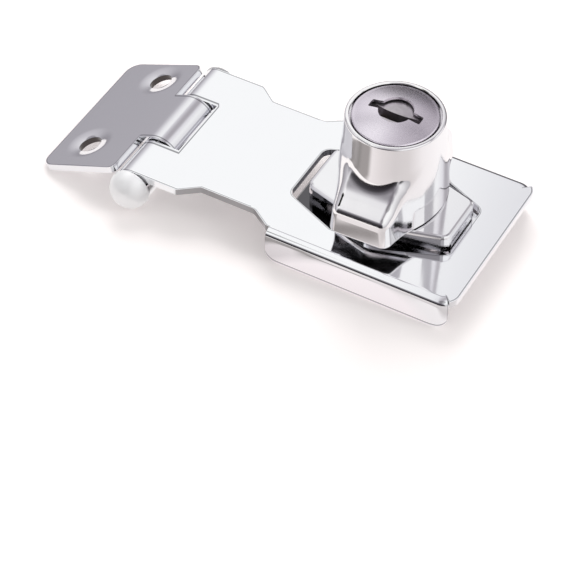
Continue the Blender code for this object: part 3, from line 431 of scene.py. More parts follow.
print("leaf faces before its thickness:", len(leaf.data.polygons))

# %% [markdown]
# ## Hinge pin
# A plain rod with a round, domed head at the front and its other end spread by a riveting hammer. It is turned:
# a profile carried round the hinge line.


# %% Turned pieces
def turned(profile, count):
    """Profile points (radius, place) carried round the Y axis: x = radius cos, z = radius sin at even angles."""
    a = np.linspace(0.0, TURN, count, endpoint=False)
    r, place = np.asarray(profile, float).T
    return np.stack([r[:, None] * np.cos(a), np.repeat(place[:, None], count, 1), r[:, None] * np.sin(a)], -1)


PIN_R, PIN_SEAT = 2.1, 17.7
HEAD_R, HEAD_DEPTH = 4.2, 4.05
head = arc(0.0, 0.0, 1.0, 270, 352, 18) * (HEAD_R, HEAD_DEPTH) - (0.0, PIN_SEAT + 0.35)
head[0, 0] = 0.0
shank = [(HEAD_R, -PIN_SEAT - 0.25), (HEAD_R, -PIN_SEAT - 0.1), (HEAD_R - 0.1, -PIN_SEAT), (PIN_R, -PIN_SEAT),
         (PIN_R, PIN_SEAT), (3.6, PIN_SEAT)]
spread = arc(0.0, 0.0, 1.0, 8, 90, 10) * (4.0, 1.4) + (0.0, PIN_SEAT)
spread[-1, 0] = 0.0
pin_profile = np.concatenate([head, shank, spread])
pin = skin("hinge_pin_rod", [grid(turned(pin_profile, 96) + HINGE, True)], weld=0.002)
print("pin faces:", len(pin.data.polygons))

# %% [markdown]
# ## Knob
# The knob is one zinc casting: a slightly tapered drum and a crosswise wing whose ends stand over the strap.
# Casting needs soft inside corners, so the wing flows into the drum. Two separate bodies would meet in a hard
# line. Instead, the outside is one function: for each height and direction, the distance from the axis at which a
# soft blend of "outside the drum" and "outside the wing" is zero. The hollow for the lock is turned in the same
# rows, so that the whole casting is one closed skin.

# %% Drum
KNOB_FOOT, KNOB_TOP, DRUM_R, DRUM_TAPER = 11.2, 31.0, 9.75, 0.62


def drum_radius(z):
    """Drum's radius: the top radius plus a taper that grows downwards, with a little more in the last fifth."""
    t = np.clip((z - KNOB_FOOT) / (KNOB_TOP - KNOB_FOOT), 0.0, 1.0)
    return DRUM_R + DRUM_TAPER * (1.0 - t ** 1.6) + 0.3 * np.maximum(0.2 - t, 0.0) + 0.15 * (1.0 - t)


print("drum radius at the foot and at the top:", drum_radius(KNOB_FOOT).round(2), drum_radius(KNOB_TOP).round(2))

# %% Wing
WING_TIP, WING_TURN = 15.7, math.radians(2.0)
WING_HALF, WING_FLARE, WING_DRAFT = 6.1, 0.24, 0.085
TIP_HEIGHT, SLOPE, TIP_SETBACK = 6.35, 0.64, 0.95
SWEEP_FROM, SWEEP_LENGTH, SWEEP_RISE = 1.8, 3.8, 1.7
TIP_ROUND, EDGE_ROUND, EDGE_GROWTH, LOW_FILLET, EXTRA_FILLET = 1.3, 1.4, 0.16, 1.3, 1.9


def soft_corner(first, second, radius):
    """Distance outside both of two faces at once, with their corner rounded: the length of the two overshoots past
    the corner's centre, less the radius."""
    a, b = first + radius, second + radius
    return np.hypot(np.maximum(a, 0.0), np.maximum(b, 0.0)) - radius + np.minimum(np.maximum(a, b), 0.0)


def outside(x, y, z):
    """Signed distance outside the casting: wing faces joined with soft corners, then blended with the drum. The
    wing's top climbs evenly towards the drum, plus a sweep in the shape of 3t^2 - 2t^3 where it meets the drum."""
    wx = x * math.cos(WING_TURN) + y * math.sin(WING_TURN)
    wy = np.abs(y * math.cos(WING_TURN) - x * math.sin(WING_TURN))
    inward = np.clip(WING_TIP - wy, 0.0, 9.9)
    side = np.abs(wx) - (WING_HALF + WING_FLARE * inward - WING_DRAFT * (z - KNOB_FOOT))
    climb = WING_TIP - TIP_SETBACK - wy
    t = np.clip((climb - SWEEP_FROM) / SWEEP_LENGTH, 0.0, 1.0)
    top = KNOB_FOOT + TIP_HEIGHT + SLOPE * climb + SWEEP_RISE * t * t * (3.0 - 2.0 * t)
    ends = soft_corner(wy - WING_TIP, (z - top) * 0.79, TIP_ROUND)
    wing = soft_corner(ends, side, EDGE_ROUND + EDGE_GROWTH * inward)
    drum = np.hypot(x, y) - drum_radius(z)
    fillet = LOW_FILLET + EXTRA_FILLET * np.clip(0.5 + (side - ends) / 3.0, 0.0, 1.0)
    near = np.maximum(fillet - np.abs(wing - drum), 0.0) / fillet
    return np.minimum(wing, drum) - near * near * fillet * 0.25


def casting_radius(angle, z):
    """Distance from the axis to the casting's skin: halving the span between inside and outside, 34 times over."""
    low, high = np.full(np.broadcast(angle, z).shape, 5.0), np.full(np.broadcast(angle, z).shape, 20.0)
    for _ in range(34):
        middle = 0.5 * (low + high)
        inside = outside(middle * np.cos(angle), middle * np.sin(angle), z) < 0.0
        low, high = np.where(inside, middle, low), np.where(inside, high, middle)
    return 0.5 * (low + high)


print("from the axis to the wing's tip:", casting_radius(WING_TURN + math.pi / 2.0, KNOB_FOOT + 1.0).round(2), "mm")

# %% Knob outside
dense = np.radians(np.linspace(-38.0, 38.0, 153)) + WING_TURN
sparse = np.radians(np.linspace(40.0, 140.0, 61)) + WING_TURN
quarter = math.pi / 2.0
round_knob = np.concatenate([dense - quarter, sparse - quarter, dense + quarter, sparse + quarter])
heights = np.concatenate([np.linspace(KNOB_FOOT + 0.3, 23.6, 78), np.linspace(24.4, KNOB_TOP - 0.45, 10)])
walls = casting_radius(round_knob[None, :], heights[:, None])
foot_turn, rim_turn = np.radians((0.0, 30.0, 60.0)), np.radians(np.linspace(15.0, 90.0, 6))
foot = [(walls[0] - 0.3 * (1.0 - math.sin(a)), KNOB_FOOT + 0.3 * (1.0 - math.cos(a))) for a in foot_turn]
crown = [(walls[-1] - 0.45 * (1.0 - math.cos(a)), KNOB_TOP - 0.45 * (1.0 - math.sin(a))) for a in rim_turn]
print("knob outside:", walls.shape, "points, from", round(walls.min(), 2), "to", round(walls.max(), 2), "mm")

# %% Knob hollow
PLUG_BORE, GROOVE_REACH, GROOVE_HALF = 5.8, 6.85, 3.9
CAP_SEAT, SPIGOT_R, SPIGOT_BORE, TAIL_BORE, RING_SEAT = 8.85, 6.7, 4.2, 2.9, 5.9
CAP_LEDGE, GROOVE_END, PLUG_FLOOR, TAIL_FLOOR = 27.2, 13.6, 10.6, 9.4
RING_HIGH, RING_LOW, SPIGOT_END = 2.25, 0.95, 0.3


def groove_radius(angle):
    """Bore of the lock plug with two flat grooves for its wafers: the larger of the bore and the groove's box."""
    c, s = np.cos(angle), np.sin(angle)
    across, along = np.maximum(np.abs(c), 1e-6), np.maximum(np.abs(s), 1e-6)
    east = np.where(c > 0.0, np.minimum(GROOVE_REACH / across, GROOVE_HALF / along), 0.0)
    north = np.where(s > 0.0, np.minimum(GROOVE_REACH / along, GROOVE_HALF / across), 0.0)
    return np.maximum(PLUG_BORE, np.maximum(east, north))


grooved = groove_radius(round_knob)
inner = [(CAP_SEAT + 0.12, KNOB_TOP), (CAP_SEAT, KNOB_TOP - 0.12), (CAP_SEAT, CAP_LEDGE), (grooved, CAP_LEDGE),
         (grooved, GROOVE_END), (PLUG_BORE, GROOVE_END), (PLUG_BORE, PLUG_FLOOR), (TAIL_BORE, PLUG_FLOOR),
         (TAIL_BORE, TAIL_FLOOR), (SPIGOT_BORE, TAIL_FLOOR), (SPIGOT_BORE, SPIGOT_END), (SPIGOT_R, SPIGOT_END),
         (SPIGOT_R, RING_LOW), (RING_SEAT, RING_LOW), (RING_SEAT, RING_HIGH), (SPIGOT_R, RING_HIGH),
         (SPIGOT_R, KNOB_FOOT)]
rings = foot + list(zip(walls, heights)) + crown + inner
radii = np.array([np.broadcast_to(r, round_knob.shape) for r, _ in rings])
levels = np.repeat(np.array([z for _, z in rings])[:, None], len(round_knob), 1)
cast = np.stack([radii * np.cos(round_knob), radii * np.sin(round_knob), levels], -1)
knob = skin("knob_casting", [grid(np.concatenate([cast, cast[:1]]), True)], sharp=38.0, weld=0.003)
print("knob faces:", len(knob.data.polygons))

# %% [markdown]
# The bolt slides out through a window in the knob's hollow spigot. The window is a Boolean cut: it is flat sided
# and hidden in the base, so a formula would gain nothing.

# %% Bolt window
WINDOW_REACH, WINDOW_HALF, WINDOW_LEVELS = 8.0, 3.5, (4.9, 7.3)
window_corners = np.array([(0.0, -WINDOW_HALF), (WINDOW_REACH, -WINDOW_HALF), (WINDOW_REACH, WINDOW_HALF),
                           (0.0, WINDOW_HALF)])
window_sides = np.stack([np.column_stack([window_corners, np.full(4, z)]) for z in WINDOW_LEVELS])
window_lids = [grid(side[[[0, 1], [3, 2]]]) for side in window_sides]
window = skin("bolt_window", [grid(window_sides, True)] + window_lids)
cut = knob.modifiers.new("Bolt window", "BOOLEAN")
cut.solver, cut.operation, cut.object = "EXACT", "DIFFERENCE", window
bpy.context.view_layer.update()
with_window = bpy.data.meshes.new_from_object(knob.evaluated_get(bpy.context.evaluated_depsgraph_get()))
knob.modifiers.clear()
knob.data = with_window
bpy.data.objects.remove(window)
knob.data.shade_smooth()
knob.data.set_sharp_from_angle(angle=math.radians(38.0))
print("knob faces with its window:", len(knob.data.polygons))

# %% [markdown]
# ## Keyhole cap
# A thin stainless cap, pressed to a shallow dome and pierced with a slot that has a round eye. Its rows start on
# the keyhole's edge and end on the rim, so that the pierced edge is true, and Solidify gives it its wall.

# %% Keyhole
CAP_R, CAP_FLAT, CAP_RISE, CAP_SHEET, SKIRT_FOOT = 8.5, 8.1, 1.3, 0.5, 29.4
SLOT_HALF, SLOT_REACH, EYE_R, EYE_STRETCH = 1.05, 5.45, 3.4, 1.14

slot_end = rounded([(1.0, 0.0), (SLOT_REACH, 0.0), (SLOT_REACH, SLOT_HALF), (1.0, SLOT_HALF)],
                   [0.0, 0.0, 0.3, 0.0], 6)[1:-1]
slot_side = np.concatenate([slot_end, [(4.8, SLOT_HALF), (4.1, SLOT_HALF)]])
eye_side = arc(0.0, 0.0, EYE_R, math.degrees(math.asin(SLOT_HALF / EYE_R)), 90, 16)
upper_eye = np.concatenate([slot_side, eye_side * (1.0, EYE_STRETCH)])
lower_eye = np.concatenate([slot_side, eye_side])
keyhole = np.concatenate([upper_eye, upper_eye[::-1][1:] * (-1.0, 1.0), lower_eye * (-1.0, -1.0),
                          lower_eye[::-1][1:] * (1.0, -1.0)])
print("keyhole:", 2.0 * SLOT_REACH, "mm long, eye", 2.0 * EYE_R, "mm")

# %% Cap
even_turns = np.linspace(0.0, TURN, 120, endpoint=False)
angles = np.unique(np.round(np.concatenate([directions(np.zeros(2), keyhole), even_turns]), 4))
angles = angles[np.append(True, np.diff(angles) > 2e-3)]
edge_r = reach(keyhole, np.zeros(2), angles)
spread_rows = np.array((0.0, 0.06, 0.15, 0.3, 0.45, 0.6, 0.75, 0.88, 1.0))[:, None]
radii = edge_r + (CAP_FLAT - edge_r) * spread_rows
dome = KNOB_TOP + CAP_RISE * (1.0 - (radii / CAP_FLAT) ** 2)
fold = arc(CAP_FLAT, KNOB_TOP - 0.4, CAP_R - CAP_FLAT, 75, 0, 5)
skirt = np.concatenate([fold, [(CAP_R, SKIRT_FOOT + 0.7), (CAP_R, SKIRT_FOOT)]])
radii = np.concatenate([radii, np.repeat(skirt[:, :1], len(angles), 1)])
dome = np.concatenate([dome, np.repeat(skirt[:, 1:], len(angles), 1)])
cap_rows = np.stack([radii * np.cos(angles), radii * np.sin(angles), dome], -1)
cap = skin("keyhole_cap_shell", [grid(cap_rows, True)], weld=0.002)
sheet_metal(cap, CAP_SHEET, 0.17)
print("cap faces before its thickness:", len(cap.data.polygons))

# %% [markdown]
# ## Who moves with what
# The new pieces take the place of the frame's plain solids and ride on the same bodies, so the hinge, the knob and
# the plug still turn.

# %% Riding
for piece, node, body, slot in ((strap, "strap", "base", "strap"), (leaf, "leaf", "leaf", "leaf"),
                                (pin, "hinge_pin", "base", "hinge_pin"), (knob, "knob_body", "knob", "knob_body"),
                                (cap, "keyhole_cap", "plug", "keyhole_cap")):
    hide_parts(node)
    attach(piece, body)

# %% [markdown]
# ## Finishes
# Each finish is built from what the real surface is, with painted shade added in three places: a fine line along
# the sheet's rims, the walls of the leaf's screw holes and the slot round the boss. Patterns are read from Object
# coordinates, so they are in metres and stay on the piece when it moves. Where a finish changes at an edge, it reads
# the mark that the mesh carries there.

# %% Shader helpers
FACTOR, FIRST, SECOND, BLEND = 0, 6, 7, 2  # a colour Mix node's inputs for share and both colours, and its output
COLOUR_MIX = {"data_type": "RGBA"}
COLOUR_PRODUCT = {"data_type": "RGBA", "blend_type": "MULTIPLY"}


def linear(hexa):
    """Linear colour of an sRGB hex colour: below 0.04045 divided by 12.92, above it ((c + 0.055) / 1.055)^2.4."""
    c = np.array([int(hexa[i:i + 2], 16) for i in (0, 2, 4)]) / 255.0
    return (*np.where(c <= 0.04045, c / 12.92, ((c + 0.055) / 1.055) ** 2.4).tolist(), 1.0)


def add(tree, kind, links=(), inputs=(), stops=(), **settings):
    """Adds one node with its settings, input values, (from socket, to input) links and (place, colour) stops."""
    node = tree.nodes.new(kind)
    for name, value in settings.items():
        setattr(node, name, value)
    for name, value in dict(inputs).items():
        node.inputs[name].default_value = value
    for source, target in links:
        tree.links.new(source, node.inputs[target])
    for _ in stops[2:]:
        node.color_ramp.elements.new(0.5)
    for k, (place, colour) in enumerate(stops):
        node.color_ramp.elements[k].position = place
        node.color_ramp.elements[k].color = linear(colour)
    return node


def metal(name, colour, roughness, metallic=1.0):
    """A metal shader with its own node tree: colour and metallic on the sockets, and the IOR left as it is."""
    material = bpy.data.materials.new(name)
    material.use_nodes = True
    shader = material.node_tree.nodes["Principled BSDF"]
    for socket, value in (("Base Color", linear(colour)), ("Metallic", metallic), ("Roughness", roughness)):
        shader.inputs[socket].default_value = value
    return material, material.node_tree, shader


print("middle grey in linear light:", round(linear("808080")[0], 3))

# %% [markdown]
# ** Bright chrome.** Decorative chrome is a mirror with a cool cast. The steel sheet under it was rolled and
# polished, which leaves a very faint waviness, hairline scratches and a thin, uneven haze. Zinc castings are
# polished by hand before plating, so their waves are shorter and deeper. The eye takes these small bends in the
# mirrored studio as real plating, where a perfect mirror would look drawn. On the sheet, a fine grey line is painted
# just inside each sheared rim: painted shade for the dark line that a rolled edge shows in the mirrored studio.

# %% Bright chrome
def bright_chrome(name, colour, smooth, hazy, wave_mm, wave_height_mm, edge_shade_colour=None, metallic=1.0):
    """Mirror plating: roughness wanders between smooth and hazy with a 9 mm noise, bump gives waves of a given
    length and height and hairlines 6 mm long and 14 times as narrow."""
    material, tree, shader = metal(name, colour, smooth, metallic)
    place = add(tree, "ShaderNodeTexCoord").outputs["Object"]
    haze = add(tree, "ShaderNodeTexNoise", [(place, "Vector")],
               {"Scale": 1.0 / (9.0 * MM), "Detail": 4.0, "Roughness": 0.6})
    rough = add(tree, "ShaderNodeMapRange", [(haze.outputs["Fac"], "Value")],
                {"From Min": 0.35, "From Max": 0.7, "To Min": smooth, "To Max": hazy})
    tree.links.new(rough.outputs["Result"], shader.inputs["Roughness"])
    wave = add(tree, "ShaderNodeTexNoise", [(place, "Vector")], {"Scale": 1.0 / (wave_mm * MM), "Detail": 1.0})
    hair_place = add(tree, "ShaderNodeMapping", [(place, "Vector")],
                     {"Scale": (1.0, 14.0, 14.0), "Rotation": (0.0, 0.0, 0.35)})
    hair = add(tree, "ShaderNodeTexNoise", [(hair_place.outputs["Vector"], "Vector")],
               {"Scale": 1.0 / (6.0 * MM), "Detail": 2.0})
    low = add(tree, "ShaderNodeBump", [(wave.outputs["Fac"], "Height")],
              {"Strength": 1.0, "Distance": wave_height_mm * MM})
    fine = add(tree, "ShaderNodeBump", [(hair.outputs["Fac"], "Height"), (low.outputs["Normal"], "Normal")],
               {"Strength": 1.0, "Distance": 0.0006 * MM})
    tree.links.new(fine.outputs["Normal"], shader.inputs["Normal"])
    # Painted shade: a fine grey line just inside the sheared rim, for the dark line that the rolled edge shows.
    if edge_shade_colour:
        rim = add(tree, "ShaderNodeAttribute", attribute_name="sheared_rim")
        painted_edge_line = add(tree, "ShaderNodeValToRGB", [(rim.outputs["Fac"], "Fac")],
                   stops=[(0.3, colour), (0.45, edge_shade_colour), (0.55, edge_shade_colour), (0.75, colour)])
        tree.links.new(painted_edge_line.outputs["Color"], shader.inputs["Base Color"])
    return material


# The last colour given to the strap's and the leaf's finish is their painted shade line along the rims.
strap_chrome = bright_chrome("bright_chrome_on_rolled_steel", "F7F8FA", 0.045, 0.10, 7.0, 0.0016, "8B8B8F")
leaf_chrome = bright_chrome("bright_chrome_on_leaf_steel", "EDEDF0", 0.055, 0.12, 7.0, 0.0016, "9A9A9E")
knob_chrome = bright_chrome("bright_chrome_on_zinc_casting", "F8F7F8", 0.07, 0.13, 3.5, 0.0026)
base_chrome = bright_chrome("chrome_on_zinc_base_with_slot_shade", "F2F2F4", 0.07, 0.14, 4.0, 0.0024)
print("chrome finishes:", len((strap_chrome, leaf_chrome, knob_chrome, base_chrome)))

# %% [markdown]
# **Matt white nickel on the pin.** Small turned parts are plated loose in a barrel. They come out white and matt,
# because they knock against each other, so the pin's head has no sharp reflections and looks like a pale, soft
# ball beside the bright sheet. A bloom of fine pits scatters most of the light, so its metallic value is low.

# %% Pin finish
pin_chrome = bright_chrome("matt_white_nickel_on_turned_steel", "FAFAFB", 0.30, 0.40, 3.0, 0.0012, metallic=0.2)
print("pin finish:", pin_chrome.name)

# %% [markdown]
# ** Walls of the screw holes.** The inside of each screw hole lies in shade, so the walls get a dark colour: painted
# shade. The leaf's mesh carries a mark on the holes' edges, which darkens the colour.

# %% Hole walls
tree = leaf_chrome.node_tree
leaf_colour = tree.nodes["Principled BSDF"].inputs["Base Color"]
pierced = add(tree, "ShaderNodeAttribute", attribute_name="pierced_edge")
# Painted shade on the holes' walls: the colour darkens near the marked edges.
hole_shade = add(tree, "ShaderNodeValToRGB", [(pierced.outputs["Fac"], "Fac")], stops=[(0.6, "FFFFFF"), (0.95, "55504E")])
hole_wall = add(tree, "ShaderNodeMix", [(leaf_colour.links[0].from_socket, FIRST), (hole_shade.outputs["Color"], SECOND)],
                {FACTOR: 1.0}, **COLOUR_PRODUCT)
tree.links.new(hole_wall.outputs[BLEND], leaf_colour)
print("nodes in the leaf's finish:", len(tree.nodes))

# %% [markdown]
# ** Painted shade round the boss.** The slot round the boss is a deep, narrow gap in shade, so the base's colour is
# darkened there to a dark grey and only the boss is bright: painted shade. The change goes with height: it starts a
# little under the strap's top, and lower down at the boss's two ends, where the slot is wider. To the eye it is the
# black line that sets the boss off from the strap.

# %% Base casting
tree = base_chrome.node_tree
place = add(tree, "ShaderNodeTexCoord").outputs["Object"]
spot = add(tree, "ShaderNodeSeparateXYZ", [(place, "Vector")])
# Painted shade in the slot: the base darkens below a height, which is lower at the boss's two ends.
free_end, hinge_end = [
    add(tree, "ShaderNodeMapRange", [(spot.outputs["X"], "Value")],
        {"From Min": start * MM, "From Max": stop * MM, "To Max": rise * MM})
    for start, stop, rise in ((9.0, 13.0, 3.6), (-8.0, -10.5, 0.5))]
lift = add(tree, "ShaderNodeMath", [(free_end.outputs["Result"], 0), (hinge_end.outputs["Result"], 1)],
           operation="ADD")
level = add(tree, "ShaderNodeMath", [(spot.outputs["Z"], 0), (lift.outputs["Value"], 1)], operation="ADD")
bright = add(tree, "ShaderNodeMapRange", [(level.outputs["Value"], "Value")],
             {"From Min": 6.0 * MM, "From Max": 7.4 * MM})
slot_shade = add(tree, "ShaderNodeValToRGB", [(bright.outputs["Result"], "Fac")],
             stops=[(0.0, "5E5D60"), (1.0, "F2F2F4")])
tree.links.new(slot_shade.outputs["Color"], tree.nodes["Principled BSDF"].inputs["Base Color"])
print("nodes in the base's finish:", len(tree.nodes))

# %% [markdown]
# **Satin stainless steel.** The cap was spun against a fine belt. Its lines are too fine to see one by one, but
# they spread the light, so it looks like a soft grey with a mauve cast. They are drawn 0.12 mm apart, which is as
# coarse as they need to be to show at all.

# %% Satin steel
cap_satin, tree, shader = metal("satin_spun_stainless", "F6F0F8", 0.28)
place = add(tree, "ShaderNodeTexCoord").outputs["Object"]
flat = add(tree, "ShaderNodeVectorMath", [(place, 0)], {1: (1.0, 1.0, 0.0)}, operation="MULTIPLY")
distance = add(tree, "ShaderNodeVectorMath", [(flat.outputs["Vector"], 0)], operation="LENGTH")
lines = add(tree, "ShaderNodeTexNoise", [(distance.outputs["Value"], "W")],
            {"Scale": 1.0 / (0.12 * MM), "Detail": 2.0}, noise_dimensions="1D")
grain = add(tree, "ShaderNodeTexNoise", [(place, "Vector")], {"Scale": 1.0 / (0.35 * MM), "Detail": 3.0})
mixed = add(tree, "ShaderNodeMath", [(lines.outputs["Fac"], 0), (grain.outputs["Fac"], 1)], operation="MULTIPLY")
rough = add(tree, "ShaderNodeMapRange", [(mixed.outputs["Value"], "Value")],
            {"From Min": 0.1, "From Max": 0.45, "To Min": 0.24, "To Max": 0.34})
tree.links.new(rough.outputs["Result"], shader.inputs["Roughness"])
bump = add(tree, "ShaderNodeBump", [(mixed.outputs["Value"], "Height")], {"Strength": 0.5, "Distance": 0.0012 * MM})
tree.links.new(bump.outputs["Normal"], shader.inputs["Normal"])
print("cap finish:", cap_satin.name)


# %% [markdown]
# **Parts inside the lock.** The plug is nickel-plated brass, a warm grey. The wafers are bare stamped brass, the
# small steel parts carry thin zinc with a cool cast, and the springs are drawn wire. A fine grain makes all of them
# look dull beside the chrome.

# %% Inner metals
def worked_metal(name, colour, low, high, grain_mm):
    """Stamped or cut metal: fine grain in both roughness and bump."""
    material, tree, shader = metal(name, colour, low)
    place = add(tree, "ShaderNodeTexCoord").outputs["Object"]
    grain = add(tree, "ShaderNodeTexNoise", [(place, "Vector")], {"Scale": 1.0 / (grain_mm * MM), "Detail": 4.0})
    rough = add(tree, "ShaderNodeMapRange", [(grain.outputs["Fac"], "Value")],
                {"From Min": 0.3, "From Max": 0.7, "To Min": low, "To Max": high})
    tree.links.new(rough.outputs["Result"], shader.inputs["Roughness"])
    bump = add(tree, "ShaderNodeBump", [(grain.outputs["Fac"], "Height")], {"Strength": 0.5, "Distance": 0.004 * MM})
    tree.links.new(bump.outputs["Normal"], shader.inputs["Normal"])
    return material


plug_nickel = worked_metal("nickel_plated_brass_plug", "CFCACE", 0.3, 0.45, 0.5)
wafer_brass = worked_metal("stamped_brass_wafer", "C8A765", 0.28, 0.42, 0.4)
steel_zinc = worked_metal("bright_zinc_on_steel", "B7BABD", 0.25, 0.4, 0.6)
spring_steel = worked_metal("drawn_spring_steel", "9DA0A4", 0.22, 0.35, 0.2)
print("inner metals:", len((plug_nickel, wafer_brass, steel_zinc, spring_steel)))

# %% Finishes on their pieces
small_steel = ("cam", "cam_screw", "lock_bolt", "stop_pin", "thrust_washer", "wave_washer", "snap_ring")
finishes = {"lock_base": base_chrome, "plug": plug_nickel}
finishes.update({f"wafer_{i}": wafer_brass for i in range(1, 6)})
finishes.update({f"wafer_spring_{i}": spring_steel for i in range(1, 6)})
finishes.update({name: steel_zinc for name in small_steel})
dressed = [(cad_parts[name], material) for name, material in finishes.items()]
dressed += [(strap, strap_chrome), (leaf, leaf_chrome), (pin, pin_chrome), (knob, knob_chrome), (cap, cap_satin)]
for piece, material in dressed:
    piece.data.materials.clear()
    piece.data.materials.append(material)
print("pieces with a finish:", len(dressed))

# %% [markdown]
# ## Camera
# The camera stands in front, to the right and well above, and looks through a long lens, so the strap's edges stay
# nearly parallel. Its place was worked out from the strap's corners and the knob's round top in the photo.

# %% Camera
BACK = np.array((0.3368, -0.5969, 0.7282))
EYE = Vector((0.1486, -0.3047, 0.3428))
FOCAL_PIXELS, PICTURE_PIXELS, SENSOR_MM = 2433.3, 576.0, 36.0

lens = bpy.data.cameras.new("studio_camera")
lens.lens = FOCAL_PIXELS * SENSOR_MM / PICTURE_PIXELS
lens.sensor_width = SENSOR_MM
lens.clip_start = 0.01
camera = bpy.data.objects.new("studio_camera", lens)
camera.location = EYE
camera.rotation_euler = Vector(-BACK).to_track_quat("-Z", "Y").to_euler()
bpy.context.scene.collection.objects.link(camera)
bpy.context.scene.camera = camera
bpy.context.scene.view_settings.view_transform = "Standard"
print("lens", round(lens.lens, 1), "mm")

# %% [markdown]
# ## Table
# The hasp lies on a pale matt table, which tilts a little so that it touches both the strap's foot and the leaf.
# The camera sees it lifted to nearly white, with the hasp's shadow on it. The upright walls of a mirror object
# see the table close by, and mirror rays see the table glow there in painted reflection tones, by distance from the
# knob's axis and by bearing round it. They stand in for the edges of papers, the gloom under the camera and the
# hasp's shadow in a real studio, with painted shade where the wing stands over the table. The wing's front face and
# the flange see the ring next to the hasp, and the drum sees the ring beyond it.

# %% Table top
TABLE_TILT = math.radians(1.2)
span = np.linspace(-1500.0, 1500.0, 3)
table_x, table_y = np.meshgrid(span, span, indexing="ij")
table_z = (table_x - 19.5) * math.tan(TABLE_TILT) - 0.02
table = skin("table_top", [grid(np.stack([table_x, table_y, table_z], -1))])
table_paint = bpy.data.materials.new("pale_matt_table")
table_paint.use_nodes = True
table.data.materials.append(table_paint)

tree = table_paint.node_tree
tree.nodes.clear()
paper = add(tree, "ShaderNodeBsdfDiffuse", inputs={"Color": linear("F4EFEE")})
seen = add(tree, "ShaderNodeLightPath")
to_camera = add(tree, "ShaderNodeMath", [(seen.outputs["Is Camera Ray"], 0)], {1: 0.2}, operation="MULTIPLY")
lift = add(tree, "ShaderNodeEmission", [(to_camera.outputs["Value"], "Strength")], {"Color": linear("FFF9F8")})
lifted = add(tree, "ShaderNodeAddShader", [(paper.outputs["BSDF"], 0), (lift.outputs["Emission"], 1)])
print("table tilt", round(math.degrees(TABLE_TILT), 1), "degrees")

# %% Bearings and distances on the table
place = add(tree, "ShaderNodeTexCoord").outputs["Object"]
spot = add(tree, "ShaderNodeSeparateXYZ", [(place, "Vector")])
flat = add(tree, "ShaderNodeVectorMath", [(place, 0)], {1: (1.0, 1.0, 0.0)}, operation="MULTIPLY")
away = add(tree, "ShaderNodeVectorMath", [(flat.outputs["Vector"], 0)], operation="LENGTH").outputs["Value"]
angle = add(tree, "ShaderNodeMath", [(spot.outputs["Y"], 0), (spot.outputs["X"], 1)], operation="ARCTAN2")
bearing = add(tree, "ShaderNodeMapRange", [(angle.outputs["Value"], "Value")],
              {"From Min": -math.pi, "From Max": math.pi}).outputs["Result"]

# Painted reflection tones by bearing round the knob: next to the hasp, beside the wing and for the drum.
next_tone = add(tree, "ShaderNodeValToRGB", [(bearing, "Fac")],
                stops=[(0.12, "CFC6C7"), (0.165, "DCD4D5"), (0.185, "D0CACA"), (0.3, "D8D2D2"),
                       (0.335, "F4EFEF"), (0.5, "FFF8F8")])
wing_side = add(tree, "ShaderNodeValToRGB", [(bearing, "Fac")],
                stops=[(0.165, "000000"), (0.185, "FFFFFF"), (0.24, "FFFFFF"), (0.27, "000000")])
drum_tone = add(tree, "ShaderNodeValToRGB", [(bearing, "Fac")],
                stops=[(0.02, "757272"), (0.10, "7E7979"), (0.125, "45403D"), (0.145, "6E6866"),
                       (0.185, "6E6866"), (0.205, "E6E0E0"), (0.26, "D5CECE"), (0.33, "C6C0C0"),
                       (0.40, "CBC5C5"), (0.48, "ECE8E9"), (0.6, "FAF7F8")])

past_foot, under_wing, apart = [
    add(tree, "ShaderNodeMapRange", [(away, "Value")], {"From Min": low * MM, "From Max": high * MM})
    for low, high in ((24.5, 27.0), (25.6, 28.8), (30.2, 32.0))]
past_pin = add(tree, "ShaderNodeMapRange", [(spot.outputs["X"], "Value")],
               {"From Min": -40.0 * MM, "From Max": -44.0 * MM})
print("tones round the table:", len(drum_tone.color_ramp.elements))

# %% Table as mirrors see it
# For mirror rays the table glows with these painted reflection tones, with painted shade under the wing.
wing_shade = add(tree, "ShaderNodeValToRGB", [(under_wing.outputs["Result"], "Fac")],
                 stops=[(0.0, "FFFFFF"), (0.9, "645E5C")])
beside = add(tree, "ShaderNodeMix", [(past_foot.outputs["Result"], FACTOR), (next_tone.outputs["Color"], SECOND)],
             {FIRST: linear("FFF5F6")}, **COLOUR_MIX)
shaded = add(tree, "ShaderNodeMix", [(wing_side.outputs["Color"], FACTOR), (beside.outputs[BLEND], FIRST),
                                     (wing_shade.outputs["Color"], SECOND)], **COLOUR_PRODUCT)
bands = add(tree, "ShaderNodeMix", [(apart.outputs["Result"], FACTOR), (shaded.outputs[BLEND], FIRST),
                                    (drum_tone.outputs["Color"], SECOND)], **COLOUR_MIX)
mirrored = add(tree, "ShaderNodeMix", [(past_pin.outputs["Result"], FACTOR), (bands.outputs[BLEND], FIRST)],
               {SECOND: linear("FFFBFA")}, **COLOUR_MIX)
mirror_glow = add(tree, "ShaderNodeEmission", [(mirrored.outputs[BLEND], "Color")], {"Strength": 1.1})
in_mirrors = add(tree, "ShaderNodeMath", [(seen.outputs["Is Glossy Ray"], 0)], {1: 0.75}, operation="MULTIPLY")
surface = add(tree, "ShaderNodeMixShader", [(in_mirrors.outputs["Value"], "Fac"), (lifted.outputs["Shader"], 1),
                                            (mirror_glow.outputs["Emission"], 2)])
add(tree, "ShaderNodeOutputMaterial", [(surface.outputs["Shader"], "Surface")])
print("nodes in the table's paint:", len(tree.nodes))

# %% [markdown]
# ## Tent
# A mirror needs something to show, so photographers put such an object in a tent of white cloth and hang grey and
# black cards in it. The tent is the world's colour by direction. It lights the table evenly, and mirror rays see
# its panels: a long light one overhead and behind, greyer cloth to both sides, a dark wall low in front and behind,
# which draws the dark lines along the bends, and round dark cards beside the camera, which blacken the strap's
# mirror image of the wing.

